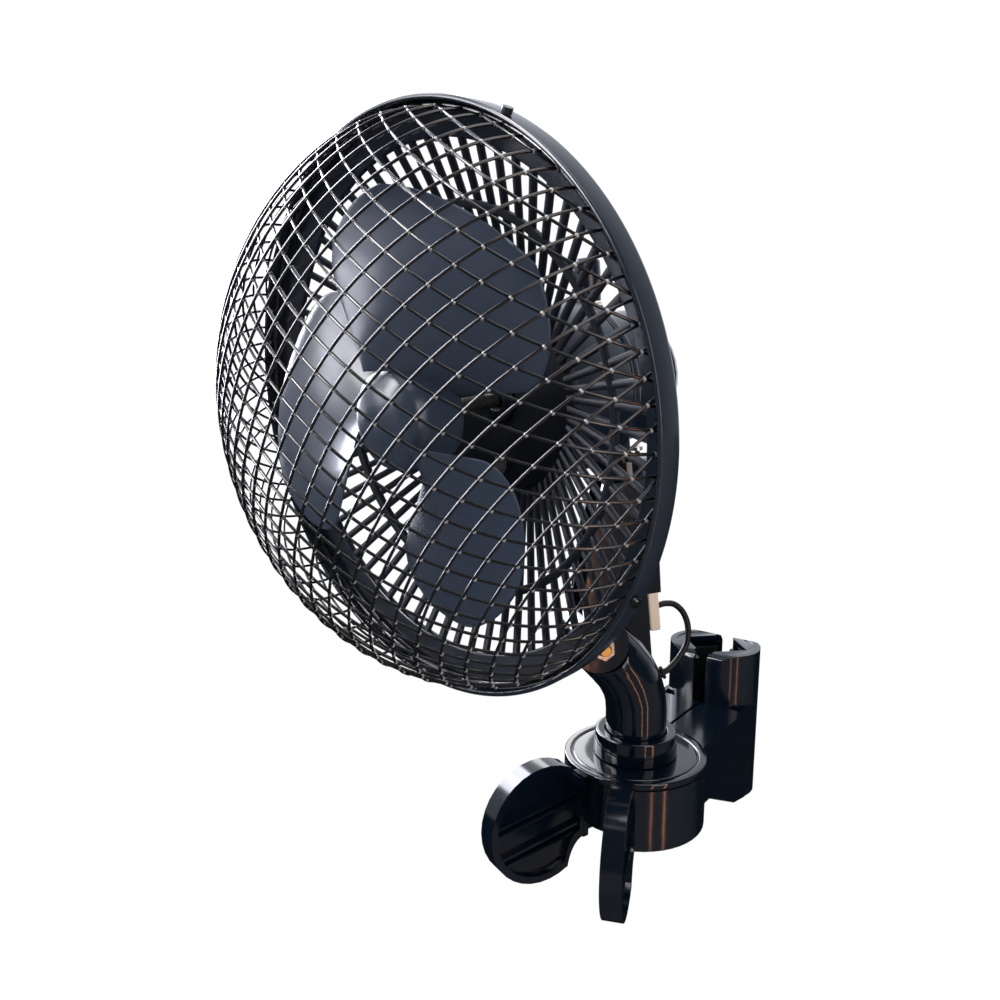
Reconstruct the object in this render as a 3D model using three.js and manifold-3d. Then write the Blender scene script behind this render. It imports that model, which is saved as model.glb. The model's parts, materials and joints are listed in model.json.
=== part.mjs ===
// An oscillating clip fan for a round pole: a caged fan head on a tilting, swivelling neck
// above a sprung clip. Millimetres, +Z up. The clip grips the pole along Z through the
// origin, and its squeeze paddles point along -Y. The head is posed as in use: swivelled on
// the clip, swung part of its sweep and tilted slightly down.
import * as THREE from 'three';
import { mergeVertices } from 'three/addons/utils/BufferGeometryUtils.js';
import Module from 'manifold-3d';

const wasm = await Module();
wasm.setup();

// ---------------------------------------------------------------- driving dimensions
const GAP = 0.3;                  // clearance between touching pieces
const BEYOND = 300;               // reach of a cut that goes right through

// clip
const POLE_RADIUS = 10;           // pole that the jaws hold at rest
const HUB_REACH = 86;             // pole axis to hub axis
const HUB_TOP = 11;               // hub top above the middle of the jaws
const HUB_RADIUS = 32;
const HUB_HEIGHT = 31;
const HUB_WALL = 3;
const HUB_CAP_THICKNESS = 3;
const CAP_GROOVE_RADIUS = 28;
const CAP_SKIRT_WALL = 1.6;
const LEVER_PLATE = 1.8;          // pivot plates of the two levers
const LEVER_RING_RADIUS = 11;
const PIVOT_RADIUS = 6;
const PADDLE_SPLAY = 22;          // degrees each side of straight ahead
const PADDLE_REACH = 52.3;        // hub axis to paddle centre
const PADDLE_RADIUS = 26.5;
const PADDLE_CENTRE_DROP = 19;    // below the hub top
const PADDLE_THICKNESS = 8.6;
const PADDLE_WEB = 2.2;
const PADDLE_RIM = 3;
const PADDLE_RIB = 1.3;
const PADDLE_RIB_RISE = 9;         // degrees, ribs rising towards the hub
const JAW_RADIUS = 18.5;
const JAW_WALL = 3;
const JAW_HEIGHT = 77.5;
const JAW_RISE = 27.5;            // jaw top above the hub top
const JAW_OFFSET = 5;             // shell centre to the pole axis, sideways
const JAW_WRAP = 95;              // degrees each side of straight sideways
const JAW_BOTTOM_ROUND = 12;
const JAW_TOP_ROUND = 6;
const JAW_WEB = 3;
const LINER_THICKNESS = 2;
const LINER_DROP = 6;             // liner top below the jaw top
const ARM_WALL = 2.5;
const ARM_TOP = 2.4;
const SPRING_RADIUS = 10;
const SPRING_WIRE = 1.8;
const SPRING_TURNS = 4;
const SPRING_LEG = 13;

// neck
const NECK_SWIVEL = -44.5;        // degrees, from the clip's forward direction
const NECK_RADIUS = 13.7;
const NECK_BORE = 10.2;
const NECK_SPIGOT = 8.6;          // length below the hub top
const NECK_RISE = 20;             // straight length above the hub top
const NECK_BEND_RADIUS = 35;
const NECK_BEND = 43;             // degrees
const NECK_END = 16;              // straight length after the bend, to the tilt bolt
const COLLAR_RADIUS = 18.8;
const COLLAR_HEIGHT = 11.1;

// tilt joint and bracket
const TILT = 6.13;                // degrees, head down
const EAR_RADIUS = 12.3;
const EAR_THICKNESS = 4;
const KNUCKLE_WIDTH = 16;
const BOLT_RADIUS = 2.5;
const BOLT_HEAD_RADIUS = 5.2;
const BOLT_HEAD_HEIGHT = 4;
const BOLT_PROUD = 1.2;           // end of the bolt beyond its nut
const NUT_ACROSS_FLATS = 8.6;
const NUT_THICKNESS = 4;
const WASHER_RADIUS = 5.2;
const WASHER_THICKNESS = 1;
const AXIS_HEIGHT = 112.67;       // tilt bolt to the fan axis
const SWING_SETBACK = 18.17;      // tilt bolt back to the swing pivot
const BRACKET_TOP_DROP = 35;      // fan axis down to the bracket's top face
const BRACKET_PLATE = 8;
const BRACKET_TOP_RADIUS = 11;
const BRACKET_BACK = 28;
const BRACKET_FRONT = 6;
const BRACKET_FORK_TOP = 20;      // solid stem starts here, above the bolt
const SWING_PIN_RADIUS = 3;
const LEAD_DIAMETER = 2.8;
const CORD_BLOCK = [5.4, 5, 18.3];
const CORD_BLOCK_LOW = -5;        // its bottom, from the tilt bolt up
const GROMMET_RADIUS = 3;

// head
const SWING = 35.2;               // degrees, from the neck's forward direction
const RING_REACH = 105.7;         // swing pivot to the front rim
const RING_RADIUS = 101;
const RIM_WIDTH = 9;
const RIM_WALL = 1.6;
const BAND_WIDTH = 12;            // flat band inside the rim
const BAND_SLOPE = 2.7;           // how far its inner edge lies behind the rim
const BAND_THICKNESS = 2.5;
const SLAT_COUNT = 48;
const SLAT_WIDTH = 3;
const SLAT_THICKNESS = 2.2;
const RIB_RADIUS = 69;
const RIB_WIDTH = 3;
const PLATE_RADIUS = 38;          // plate that holds the slats, on the motor's face
const PLATE_THICKNESS = 3;
const PLATE_BORE = 9;
const SCREW_CIRCLE = 24;         // screws that hold the guard to the motor
const MESH_INSET = 3.1;           // the mesh's hoop inside the rim
const MESH_SEAT = 4.5;            // and behind the rim's front edge
const MESH_HEIGHT = 61.4;
const MESH_POWER = 2.1;
const MESH_ROUND = 0.6;
const MESH_PITCH = 17;
const MESH_ANGLE_A = -30;         // wire directions, degrees from the viewer's right
const MESH_ANGLE_B = 47;
const MESH_OFFSET = [2.4, 2];
const WIRE = 1.5;
const HOOP_WIRE = 2.4;
const CATCH_ANGLES = [58, 148, 238, 328];
const HOOP_LIFT = 0.6;            // hoop ahead of the ends of the wires
const CATCH_RADIUS = 0.8;         // pins through the rim that hold the mesh's hoop
const CATCH_HEAD_RADIUS = 1.7;
const CATCH_HEAD_HEIGHT = 1.8;
const CATCH_HOLD = 0.5;           // how far a pin reaches over the hoop

// motor and drive
const MOTOR_RADIUS = 34;
const MOTOR_FRONT = 65;           // swing pivot forward to the motor's front face
const MOTOR_SPLIT = 30;
const MOTOR_BACK = 22;
const MOTOR_WALL = 2.5;
const SHAFT_RADIUS = 3;
const BEARING_RADIUS = 6;
const BEARING_LENGTH = 9;
const STATOR_RADIUS = 30;
const STATOR_BORE = 15.5;
const STATOR_LENGTH = 20;
const STATOR_START = 37;
const ROTOR_RADIUS = 15;
const CASE_RADIUS = 27;
const CASE_BACK = -16.5;
const CASE_WALL = 2.5;
const CASE_SLOPE = 10;            // rounding of its back edge
const KNOB_OFFSET = -14;          // gear and knob axis, sideways of the motor axis
const KNOB_REACH = -4;            // and forward of the swing pivot
const KNOB_RADIUS = 6.2;
const KNOB_HEIGHT = 19;
const KNOB_STEM_RADIUS = 2;
const GEAR_RADIUS = 9.4;
const WORM_RADIUS = 4;
const CRANK_RADIUS = 8;
const CRANK_THROW = 5.9;
const LINK_LENGTH = 12.7;
const LINK_PIVOT_REACH = 8.4;     // swing axis to the link's stud on the bracket
const LINK_PIVOT_AZIMUTH = 104;   // degrees
const SWING_BOSS_RADIUS = 4.6;
const BLADE_RADIUS = 76;
const BLADE_COUNT = 3;
const BLADE_ANGLE = 52;           // degrees from the viewer's right, first blade
const BLADE_SWEEP = 50;           // half angle at the middle
const BLADE_THICKNESS = 1.8;
const BLADE_MIDDLE = 103;         // swing pivot to the middle of the blades
const BLADE_PITCH = 24;           // rise across a blade at its root
const BLADE_CAMBER = 2;
const BLADE_HUB_RADIUS = 17;
const BLADE_HUB_BACK = 88;
const BLADE_HUB_FRONT = 116;
const BLADE_HUB_WALL = 2;
const BLADE_HUB_ROUND = 5;

// ---------------------------------------------------------------- shape helpers
const rad = THREE.MathUtils.degToRad;

// A closed geometry as a solid for joining and cutting.
function solid(geometry) {
  const bare = geometry.clone();
  bare.deleteAttribute('normal');
  bare.deleteAttribute('uv');
  const merged = mergeVertices(bare, 1e-4);
  return new wasm.Manifold(new wasm.Mesh({
    numProp: 3,
    vertProperties: new Float32Array(merged.attributes.position.array),
    triVerts: new Uint32Array(merged.index.array),
  }));
}

// A solid as a flat-shaded geometry.
function geometryOf(manifold) {
  const mesh = manifold.getMesh();
  const geometry = new THREE.BufferGeometry();
  geometry.setAttribute('position', new THREE.BufferAttribute(mesh.vertProperties, 3));
  geometry.setIndex(new THREE.BufferAttribute(mesh.triVerts, 1));
  const flat = geometry.toNonIndexed();
  flat.computeVertexNormals();
  return flat;
}

const join = (...pieces) => pieces.reduce((whole, piece) => whole.add(piece));
const cut = (body, ...tools) => tools.reduce((whole, tool) => whole.subtract(tool), body);

// Box between two corners.
function box([x0, y0, z0], [x1, y1, z1]) {
  const geometry = new THREE.BoxGeometry(x1 - x0, y1 - y0, z1 - z0);
  geometry.translate((x0 + x1) / 2, (y0 + y1) / 2, (z0 + z1) / 2);
  return solid(geometry);
}

// Profile of [radius, height] points turned about Z.
function turned(profile, segments = 32) {
  const points = [...profile, profile[0]].map(([r, h]) => new THREE.Vector2(r, h));
  const area = points.slice(1).reduce((sum, b, i) => sum + points[i].x * b.y - b.x * points[i].y, 0);
  if (area < 0) points.reverse();
  const onAxis = profile.some(([r]) => r === 0);
  const lathe = new THREE.LatheGeometry(onAxis ? openAtAxis(points) : points, segments);
  lathe.rotateX(Math.PI / 2);
  return solid(lathe);
}

// A lathe profile that touches the axis starts and ends there.
function openAtAxis(points) {
  const ring = points.slice(0, -1);
  const count = ring.length;
  const start = ring.findIndex((point, i) => point.x === 0 && ring[(i + count - 1) % count].x === 0);
  return [...ring.slice(start), ...ring.slice(0, start)];
}

// The same about the fan axis: heights run forward, along -Y.
const turnedForward = (profile, segments) => turned(profile, segments).rotate([90, 0, 0]);

const disc = (radius, low, high, segments) =>
  turned([[0, low], [radius, low], [radius, high], [0, high]], segments);
const ring = (inner, outer, low, high, segments) =>
  turned([[inner, low], [outer, low], [outer, high], [inner, high]], segments);
const discForward = (radius, low, high, segments) => disc(radius, low, high, segments).rotate([90, 0, 0]);
const ringForward = (inner, outer, low, high, segments) =>
  ring(inner, outer, low, high, segments).rotate([90, 0, 0]);
// A disc whose axis is X.
const discAcross = (radius, low, high, segments) => disc(radius, low, high, segments).rotate([0, 90, 0]);

// Outline of [x, y] points or a Shape, raised from z = low to high.
function raised(outline, low, high, curveSegments = 8) {
  const shape = outline instanceof THREE.Shape
    ? outline : new THREE.Shape(outline.map(([x, y]) => new THREE.Vector2(x, y)));
  const geometry = new THREE.ExtrudeGeometry(shape, { depth: high - low, bevelEnabled: false, curveSegments });
  geometry.translate(0, 0, low);
  return solid(geometry);
}

// Side outline of [y, z] points, from x = low to high.
const sideways = (outline, low, high, curveSegments) =>
  raised(outline, low, high, curveSegments).rotate([90, 0, 90]);

// Ring sector between two angles in degrees.
function sector(inner, outer, from, to, low, high, segments) {
  const shape = new THREE.Shape();
  shape.absarc(0, 0, outer, rad(from), rad(to), false);
  shape.absarc(0, 0, inner, rad(to), rad(from), true);
  return raised(shape, low, high, segments);
}

// Round rod along a curve.
function rod(curve, radius, steps, sides) {
  const circle = new THREE.Shape();
  circle.absarc(0, 0, radius, 0, 2 * Math.PI, false);
  const geometry = new THREE.ExtrudeGeometry(circle, {
    steps, curveSegments: sides, bevelEnabled: false, extrudePath: curve,
  });
  return solid(geometry);
}

function hexagon(acrossFlats) {
  const radius = acrossFlats / Math.sqrt(3);
  return [0, 1, 2, 3, 4, 5].map((i) => [radius * Math.cos(rad(60 * i)), radius * Math.sin(rad(60 * i))]);
}

const materials = {
  gloss: new THREE.MeshStandardMaterial({ color: 0x15171c, roughness: 0.28, metalness: 0 }),
  satin: new THREE.MeshStandardMaterial({ color: 0x1a1c20, roughness: 0.45, metalness: 0 }),
  wire: new THREE.MeshStandardMaterial({ color: 0x1b1d21, roughness: 0.25, metalness: 0.4 }),
  blade: new THREE.MeshStandardMaterial({ color: 0x22262f, roughness: 0.2, metalness: 0 }),
  steel: new THREE.MeshStandardMaterial({ color: 0xb9b7b0, roughness: 0.3, metalness: 1 }),
  brass: new THREE.MeshStandardMaterial({ color: 0xb89a5c, roughness: 0.35, metalness: 1 }),
  copper: new THREE.MeshStandardMaterial({ color: 0xa35a32, roughness: 0.4, metalness: 0.8 }),
  rubber: new THREE.MeshStandardMaterial({ color: 0x131313, roughness: 0.85, metalness: 0 }),
  nylon: new THREE.MeshStandardMaterial({ color: 0xdcc8b4, roughness: 0.55, metalness: 0 }),
};

function add(group, name, manifold, material) {
  const mesh = new THREE.Mesh(geometryOf(manifold), materials[material]);
  mesh.name = name;
  group.add(mesh);
  return mesh;
}

// ---------------------------------------------------------------- frames
// hub: hub axis at the hub top. neck: the same, swivelled. tilt: at the tilt bolt.
// head: where the fan axis crosses the swing pivot, fan facing -Y.
const fan = new THREE.Group();
fan.name = 'clip_fan';
const hub = new THREE.Group();
hub.position.set(0, -HUB_REACH, HUB_TOP);
const neck = new THREE.Group();
neck.rotation.z = rad(NECK_SWIVEL);
const bend = rad(NECK_BEND);
const boltForward = NECK_BEND_RADIUS * (1 - Math.cos(bend)) + NECK_END * Math.sin(bend);
const boltHeight = NECK_RISE + NECK_BEND_RADIUS * Math.sin(bend) + NECK_END * Math.cos(bend);
const tilt = new THREE.Group();
tilt.position.set(0, -boltForward, boltHeight);
tilt.rotation.x = rad(TILT);
const head = new THREE.Group();
head.position.set(0, SWING_SETBACK, AXIS_HEIGHT);
head.rotation.z = rad(SWING);
fan.add(hub);
hub.add(neck);
neck.add(tilt);
tilt.add(head);

// ---------------------------------------------------------------- hub core
const capUnder = -HUB_CAP_THICKNESS;
const plateRightTop = -HUB_HEIGHT + LEVER_PLATE;
const plateLeftLow = plateRightTop + GAP;
const plateLeftTop = plateLeftLow + LEVER_PLATE;
const skirtRadius = HUB_RADIUS - HUB_WALL - GAP;
const neckSeat = NECK_RADIUS + GAP;
const seatFloor = -NECK_SPIGOT - GAP;
const seatFloorUnder = seatFloor - 2;

function hubCap() {
  const skirtLow = plateLeftTop + GAP;
  const grooveDepth = 0.7;
  const grooveWidth = 0.6;
  return turned([
    [neckSeat, 0], [CAP_GROOVE_RADIUS, 0], [CAP_GROOVE_RADIUS, -grooveDepth],
    [CAP_GROOVE_RADIUS + grooveWidth, -grooveDepth], [CAP_GROOVE_RADIUS + grooveWidth, 0],
    [HUB_RADIUS - 0.8, 0], [HUB_RADIUS, -0.8], [HUB_RADIUS, capUnder],
    [skirtRadius, capUnder], [skirtRadius, skirtLow], [skirtRadius - CAP_SKIRT_WALL, skirtLow],
    [skirtRadius - CAP_SKIRT_WALL, capUnder], [neckSeat + 2, capUnder], [neckSeat + 2, seatFloorUnder],
    [BOLT_RADIUS, seatFloorUnder], [BOLT_RADIUS, seatFloor], [neckSeat, seatFloor],
  ], 32);
}
add(hub, 'hub_cap', hubCap(), 'gloss');

const screwRadius = 2;
const postTop = seatFloorUnder - GAP;
const postBottom = -HUB_HEIGHT;
add(hub, 'pivot_post', turned([
  [screwRadius + GAP, postBottom], [PIVOT_RADIUS, postBottom], [PIVOT_RADIUS, postTop],
  [screwRadius + GAP, postTop],
], 24), 'satin');

const pivotWasherRadius = 9;
const washerTop = -HUB_HEIGHT - GAP;
const washerLow = washerTop - WASHER_THICKNESS;
add(hub, 'pivot_washer', ring(screwRadius + GAP, pivotWasherRadius, washerLow, washerTop, 24), 'steel');

const screwHeadHeight = 2;
const screwHeadTop = washerLow - GAP;
add(hub, 'pivot_screw', cut(
  join(disc(screwRadius, screwHeadTop - 0.5, postTop - 2, 16),
    disc(4, screwHeadTop - screwHeadHeight, screwHeadTop, 20)),
  box([-3, -0.5, screwHeadTop - 3], [3, 0.5, screwHeadTop - 1]),
  box([-0.5, -3, screwHeadTop - 3], [0.5, 3, screwHeadTop - 1]),
), 'steel');

// Torsion spring round the pivot post: a helix with a straight leg at each end.
const springLow = plateLeftTop + SPRING_WIRE;
const springHigh = seatFloorUnder - SPRING_WIRE;
class SpringPath extends THREE.Curve {
  getPoint(t) {
    const coil = 2 * Math.PI * SPRING_RADIUS * SPRING_TURNS;
    const run = t * (coil + 2 * SPRING_LEG) - SPRING_LEG;
    const wound = THREE.MathUtils.clamp(run / coil, 0, 1);
    const angle = 2 * Math.PI * SPRING_TURNS * wound;
    const over = run < 0 ? run : Math.max(run - coil, 0);
    return new THREE.Vector3(
      SPRING_RADIUS * Math.cos(angle) - over * Math.sin(angle),
      SPRING_RADIUS * Math.sin(angle) + over * Math.cos(angle),
      springLow + (springHigh - springLow) * wound,
    );
  }
}
add(hub, 'torsion_spring', rod(new SpringPath(), SPRING_WIRE / 2, 11 * SPRING_TURNS + 4, 3), 'steel');

// ---------------------------------------------------------------- clip levers
// The right-hand lever (+X); the left one is its mirror image with the other pivot plate.
const jawLow = JAW_RISE - JAW_HEIGHT;
const jawInner = JAW_RADIUS - JAW_WALL;
const armOuter = JAW_OFFSET + JAW_RADIUS;
const armInner = armOuter - ARM_WALL;
const leverTop = capUnder - GAP;
const paddleAzimuth = -90 + PADDLE_SPLAY;
const linerOuter = (POLE_RADIUS + LINER_THICKNESS) * Math.SQRT2;

function paddle() {
  const half = PADDLE_THICKNESS / 2;
  const rootLow = -HUB_HEIGHT + 1;
  const rootTop = leverTop;
  const root = HUB_RADIUS - HUB_WALL + 0.5;
  const centre = [PADDLE_REACH, -PADDLE_CENTRE_DROP];
  // Outline in radial distance and height: a round pad drawn into a root at the hub.
  const outline = (inset) => {
    const shape = new THREE.Shape();
    const radius = PADDLE_RADIUS - inset;
    const open = rad(118);
    const start = inset ? root + 4 : root;
    const neckTurn = root + 8 + inset / 2;
    shape.moveTo(start, rootTop - inset);
    shape.quadraticCurveTo(neckTurn, rootTop - inset, centre[0] + radius * Math.cos(open),
      centre[1] + radius * Math.sin(open));
    shape.absarc(centre[0], centre[1], radius, open, -open, true);
    shape.quadraticCurveTo(neckTurn, rootLow + inset, start, rootLow + inset);
    return shape;
  };
  const recessDepth = (PADDLE_THICKNESS - PADDLE_WEB) / 2;
  const body = raised(outline(0), -half, half, 11);
  const recesses = [[-half - 1, -half + recessDepth], [half - recessDepth, half + 1]]
    .map(([low, high]) => raised(outline(PADDLE_RIM), low, high, 7));
  const ribs = [];
  const ribField = raised(outline(1), -half, half, 6);
  for (const offset of [7, 3.5, -8, -11.5]) {
    ribs.push(box([-19, offset - PADDLE_RIB / 2, -half + 1.2], [PADDLE_RADIUS, offset + PADDLE_RIB / 2, half - 1.2])
      .rotate([0, 0, -PADDLE_RIB_RISE]).translate([centre[0], centre[1], 0]).intersect(ribField));
  }
  return join(cut(body, ...recesses), ...ribs).rotate([90, 0, 0]).rotate([0, 0, paddleAzimuth]);
}

function jaw() {
  const round = new THREE.Shape();
  const front = HUB_REACH - JAW_RADIUS - 1;
  const back = HUB_REACH + JAW_RADIUS;
  round.moveTo(front, jawLow);
  round.lineTo(back - JAW_BOTTOM_ROUND, jawLow);
  round.absarc(back - JAW_BOTTOM_ROUND, jawLow + JAW_BOTTOM_ROUND, JAW_BOTTOM_ROUND, -Math.PI / 2, 0, false);
  round.absarc(back - JAW_TOP_ROUND, JAW_RISE - JAW_TOP_ROUND, JAW_TOP_ROUND, 0, Math.PI / 2, false);
  round.lineTo(front + JAW_TOP_ROUND + 1, JAW_RISE);
  round.absarc(front + JAW_TOP_ROUND + 1, JAW_RISE - JAW_TOP_ROUND, JAW_TOP_ROUND, Math.PI / 2, Math.PI, false);
  const limits = sideways(round, 0, armOuter + 1, 5);
  const shell = sector(jawInner, JAW_RADIUS, -JAW_WRAP, JAW_WRAP, jawLow, JAW_RISE, 7)
    .translate([JAW_OFFSET, HUB_REACH, 0]);
  const seatDiagonal = linerOuter + GAP * Math.SQRT2;
  const notch = raised([[seatDiagonal, 0], [0, seatDiagonal], [-seatDiagonal, 0], [0, -seatDiagonal]], -BEYOND, BEYOND)
    .translate([0, HUB_REACH, 0]);
  const webs = [0.13, 0.55, 0.975].map((share) => {
    const height = jawLow + share * JAW_HEIGHT;
    return sector(0.01, jawInner + 0.5, -JAW_WRAP + 5, JAW_WRAP - 5, height - JAW_WEB / 2, height + JAW_WEB / 2, 5)
      .translate([JAW_OFFSET, HUB_REACH, 0]);
  });
  return join(shell, cut(join(...webs), notch)).intersect(limits);
}

function arm() {
  const jawFront = HUB_REACH - JAW_RADIUS;
  const start = 12;
  const wall = sideways([[start, -HUB_HEIGHT + 1], [32, -HUB_HEIGHT + 1], [jawFront - 4, jawLow + 4],
    [HUB_REACH - 8, jawLow + 1], [HUB_REACH, jawLow + JAW_BOTTOM_ROUND], [HUB_REACH, 0], [start, 0]],
  armInner, armOuter);
  const split = 0.8;
  const top = box([split, start, -ARM_TOP], [armInner + 1, jawFront + JAW_WALL - 0.5, 0]);
  const under = box([armInner - 7, start, -HUB_HEIGHT + 1], [armInner + 1, jawFront + JAW_WALL - 2, -HUB_HEIGHT + 3.4]);
  const poleRoom = disc(jawInner, -BEYOND, BEYOND, 32).translate([JAW_OFFSET, HUB_REACH, 0]);
  return cut(join(wall, top, under), poleRoom);
}

function lever(plateLow, plateTop) {
  const wallFrom = paddleAzimuth - 8;
  const wallTo = 46;
  const inner = HUB_RADIUS - HUB_WALL;
  const drum = sector(inner, HUB_RADIUS, wallFrom, wallTo, -HUB_HEIGHT, leverTop, 8);
  const web = sector(0.01, inner + 0.5, wallFrom + 2, wallTo - 2, plateLow, plateTop, 8);
  const boss = disc(LEVER_RING_RADIUS, plateLow, plateTop, 24);
  const bore = disc(PIVOT_RADIUS + GAP, -BEYOND, BEYOND, 24);
  const hubRoom = disc(HUB_RADIUS - 1, -BEYOND, BEYOND, 36);
  const capRoom = disc(HUB_RADIUS + GAP, leverTop, 10, 36);
  return cut(join(drum, web, boss, cut(join(paddle(), arm()), hubRoom, capRoom)), bore);
}

// Each lever's spring lug stands on its pivot plate, against a leg of the spring.
function springLug(plateTop, top, side) {
  const lugThickness = 2.5;
  const x = SPRING_RADIUS + SPRING_WIRE / 2 + GAP;
  return box([x, side * SPRING_LEG - 4, plateTop - 0.5], [x + lugThickness, side * SPRING_LEG + 2, top]);
}

const rightLever = join(lever(-HUB_HEIGHT, plateRightTop), jaw(),
  springLug(plateRightTop, springHigh + SPRING_WIRE, 1));
const leftLever = join(lever(plateLeftLow, plateLeftTop), jaw(),
  springLug(plateLeftTop, springLow + SPRING_WIRE, 1)).mirror([1, 0, 0]);
add(hub, 'clip_lever_right', rightLever, 'gloss');
add(hub, 'clip_lever_left', leftLever, 'gloss');

function liner() {
  const inner = POLE_RADIUS * Math.SQRT2;
  const diamond = (half) => raised([[half, 0], [0, half], [-half, 0], [0, -half]],
    jawLow + GAP + 2, JAW_RISE - LINER_DROP);
  const within = disc(jawInner - GAP, -BEYOND, BEYOND, 32).translate([JAW_OFFSET, 0, 0]);
  const side = box([JAW_OFFSET - 1, -40, -100], [40, 40, 100]);
  return cut(diamond(linerOuter), diamond(inner)).intersect(within).intersect(side);
}
const linerRight = liner().translate([0, HUB_REACH, 0]);
add(hub, 'jaw_liner_right', linerRight, 'rubber');
add(hub, 'jaw_liner_left', linerRight.mirror([1, 0, 0]), 'rubber');

// ---------------------------------------------------------------- neck
class NeckPath extends THREE.Curve {
  constructor(low) {
    super();
    this.low = low;
  }
  getPoint(t) {
    const straight = NECK_RISE - this.low;
    const arc = NECK_BEND_RADIUS * bend;
    const run = t * (straight + arc + NECK_END);
    if (run < straight) return new THREE.Vector3(0, 0, this.low + run);
    const turn = Math.min((run - straight) / NECK_BEND_RADIUS, bend);
    const over = Math.max(run - straight - arc, 0);
    return new THREE.Vector3(0,
      -NECK_BEND_RADIUS * (1 - Math.cos(turn)) - over * Math.sin(turn),
      NECK_RISE + NECK_BEND_RADIUS * Math.sin(turn) + over * Math.cos(turn));
  }
}

// The lead enters the neck through a grommet on the back of the bend.
const grommetTurn = rad(20);
const grommetOut = new THREE.Vector3(0, Math.cos(grommetTurn), Math.sin(grommetTurn));
const grommetSpot = new THREE.Vector3(0, -NECK_BEND_RADIUS, NECK_RISE)
  .addScaledVector(grommetOut, NECK_BEND_RADIUS + NECK_RADIUS);

// A solid made about Z from 0 up, placed at the grommet, pointing outwards.
const atGrommet = (piece) => piece.rotate([-(90 - 20), 0, 0])
  .translate([grommetSpot.x, grommetSpot.y, grommetSpot.z]);

const [blockWidth, blockDepth, blockHeight] = CORD_BLOCK;
const blockLow = CORD_BLOCK_LOW;
const blockFront = BRACKET_BACK + GAP;

function neckElbow() {
  const outer = rod(new NeckPath(-NECK_SPIGOT), NECK_RADIUS, 10, 12);
  const bore = rod(new NeckPath(-NECK_SPIGOT - 1), NECK_BORE, 10, 8);
  const half = KNUCKLE_WIDTH / 2;
  const tool = (inner, outerFace, radius) => discAcross(radius, inner, outerFace, 32)
    .translate([0, -boltForward, boltHeight]);
  const boreEnd = discAcross(EAR_RADIUS + 8, -BEYOND, BEYOND, 32).translate([0, -boltForward, boltHeight]);
  const knuckle = tool(-half, half, EAR_RADIUS);
  const pipe = cut(outer, cut(bore, boreEnd));
  return cut(join(pipe, knuckle),
    tool(half, BEYOND, EAR_RADIUS + 0.7), tool(-BEYOND, -half, Math.hypot(blockFront + blockDepth, blockLow) + 5),
    tool(-BEYOND, BEYOND, BOLT_RADIUS + GAP),
    atGrommet(disc(GROMMET_RADIUS - 0.6, -8, 3, 12)));
}
add(neck, 'neck_elbow', neckElbow(), 'gloss');

add(neck, 'neck_collar', turned([
  [neckSeat, GAP], [COLLAR_RADIUS, GAP], [COLLAR_RADIUS - 0.6, COLLAR_HEIGHT - 0.4],
  [COLLAR_RADIUS - 1, COLLAR_HEIGHT], [neckSeat, COLLAR_HEIGHT],
], 32), 'gloss');

const leadRadius = LEAD_DIAMETER / 2;
const grommetFlange = 1;
add(neck, 'cord_grommet', atGrommet(turned([
  [leadRadius, -2.5], [GROMMET_RADIUS - 0.9, -2.5], [GROMMET_RADIUS - 0.9, 0.5], [GROMMET_RADIUS, 0.5],
  [GROMMET_RADIUS, 0.5 + grommetFlange], [leadRadius, 0.5 + grommetFlange],
], 16)), 'rubber');

// ---------------------------------------------------------------- tilt bracket
const forkHalf = KNUCKLE_WIDTH / 2 + GAP;
const forkOuter = forkHalf + EAR_THICKNESS;
const bracketTop = AXIS_HEIGHT - BRACKET_TOP_DROP;

const caseBottom = -CASE_RADIUS + 0.5;
const bossLow = -BRACKET_TOP_DROP + GAP;
const gearX = KNOB_OFFSET;
const gearY = -KNOB_REACH;
const atGear = (piece) => piece.translate([gearX, gearY, 0]);
const crankTop = caseBottom - 0.2;
const crankLow = crankTop - 2.5;
const crankPinLow = crankLow - 1.4;
const linkTop = crankPinLow - GAP;
const linkThickness = 1.6;

// The link lies just under the crank pin, from there to a stud on the bracket. The crank pin
// stands where the link's length puts it for the swing shown.
const polar = (reach, azimuth) => new THREE.Vector2(reach * Math.cos(azimuth), reach * Math.sin(azimuth));
const gearReach = Math.hypot(gearX, gearY);
const gearSpot = polar(gearReach, Math.atan2(gearY, gearX) + rad(SWING));
const studSpot = polar(LINK_PIVOT_REACH, rad(LINK_PIVOT_AZIMUTH));
const toStud = studSpot.clone().sub(gearSpot);
const crankAzimuth = toStud.angle() + Math.acos((toStud.lengthSq() + CRANK_THROW ** 2 - LINK_LENGTH ** 2)
  / (2 * toStud.length() * CRANK_THROW));
const pinSpot = gearSpot.clone().add(polar(CRANK_THROW, crankAzimuth));
const crankPinRadius = 1.2;
const eyeRadius = 2.6;

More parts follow.
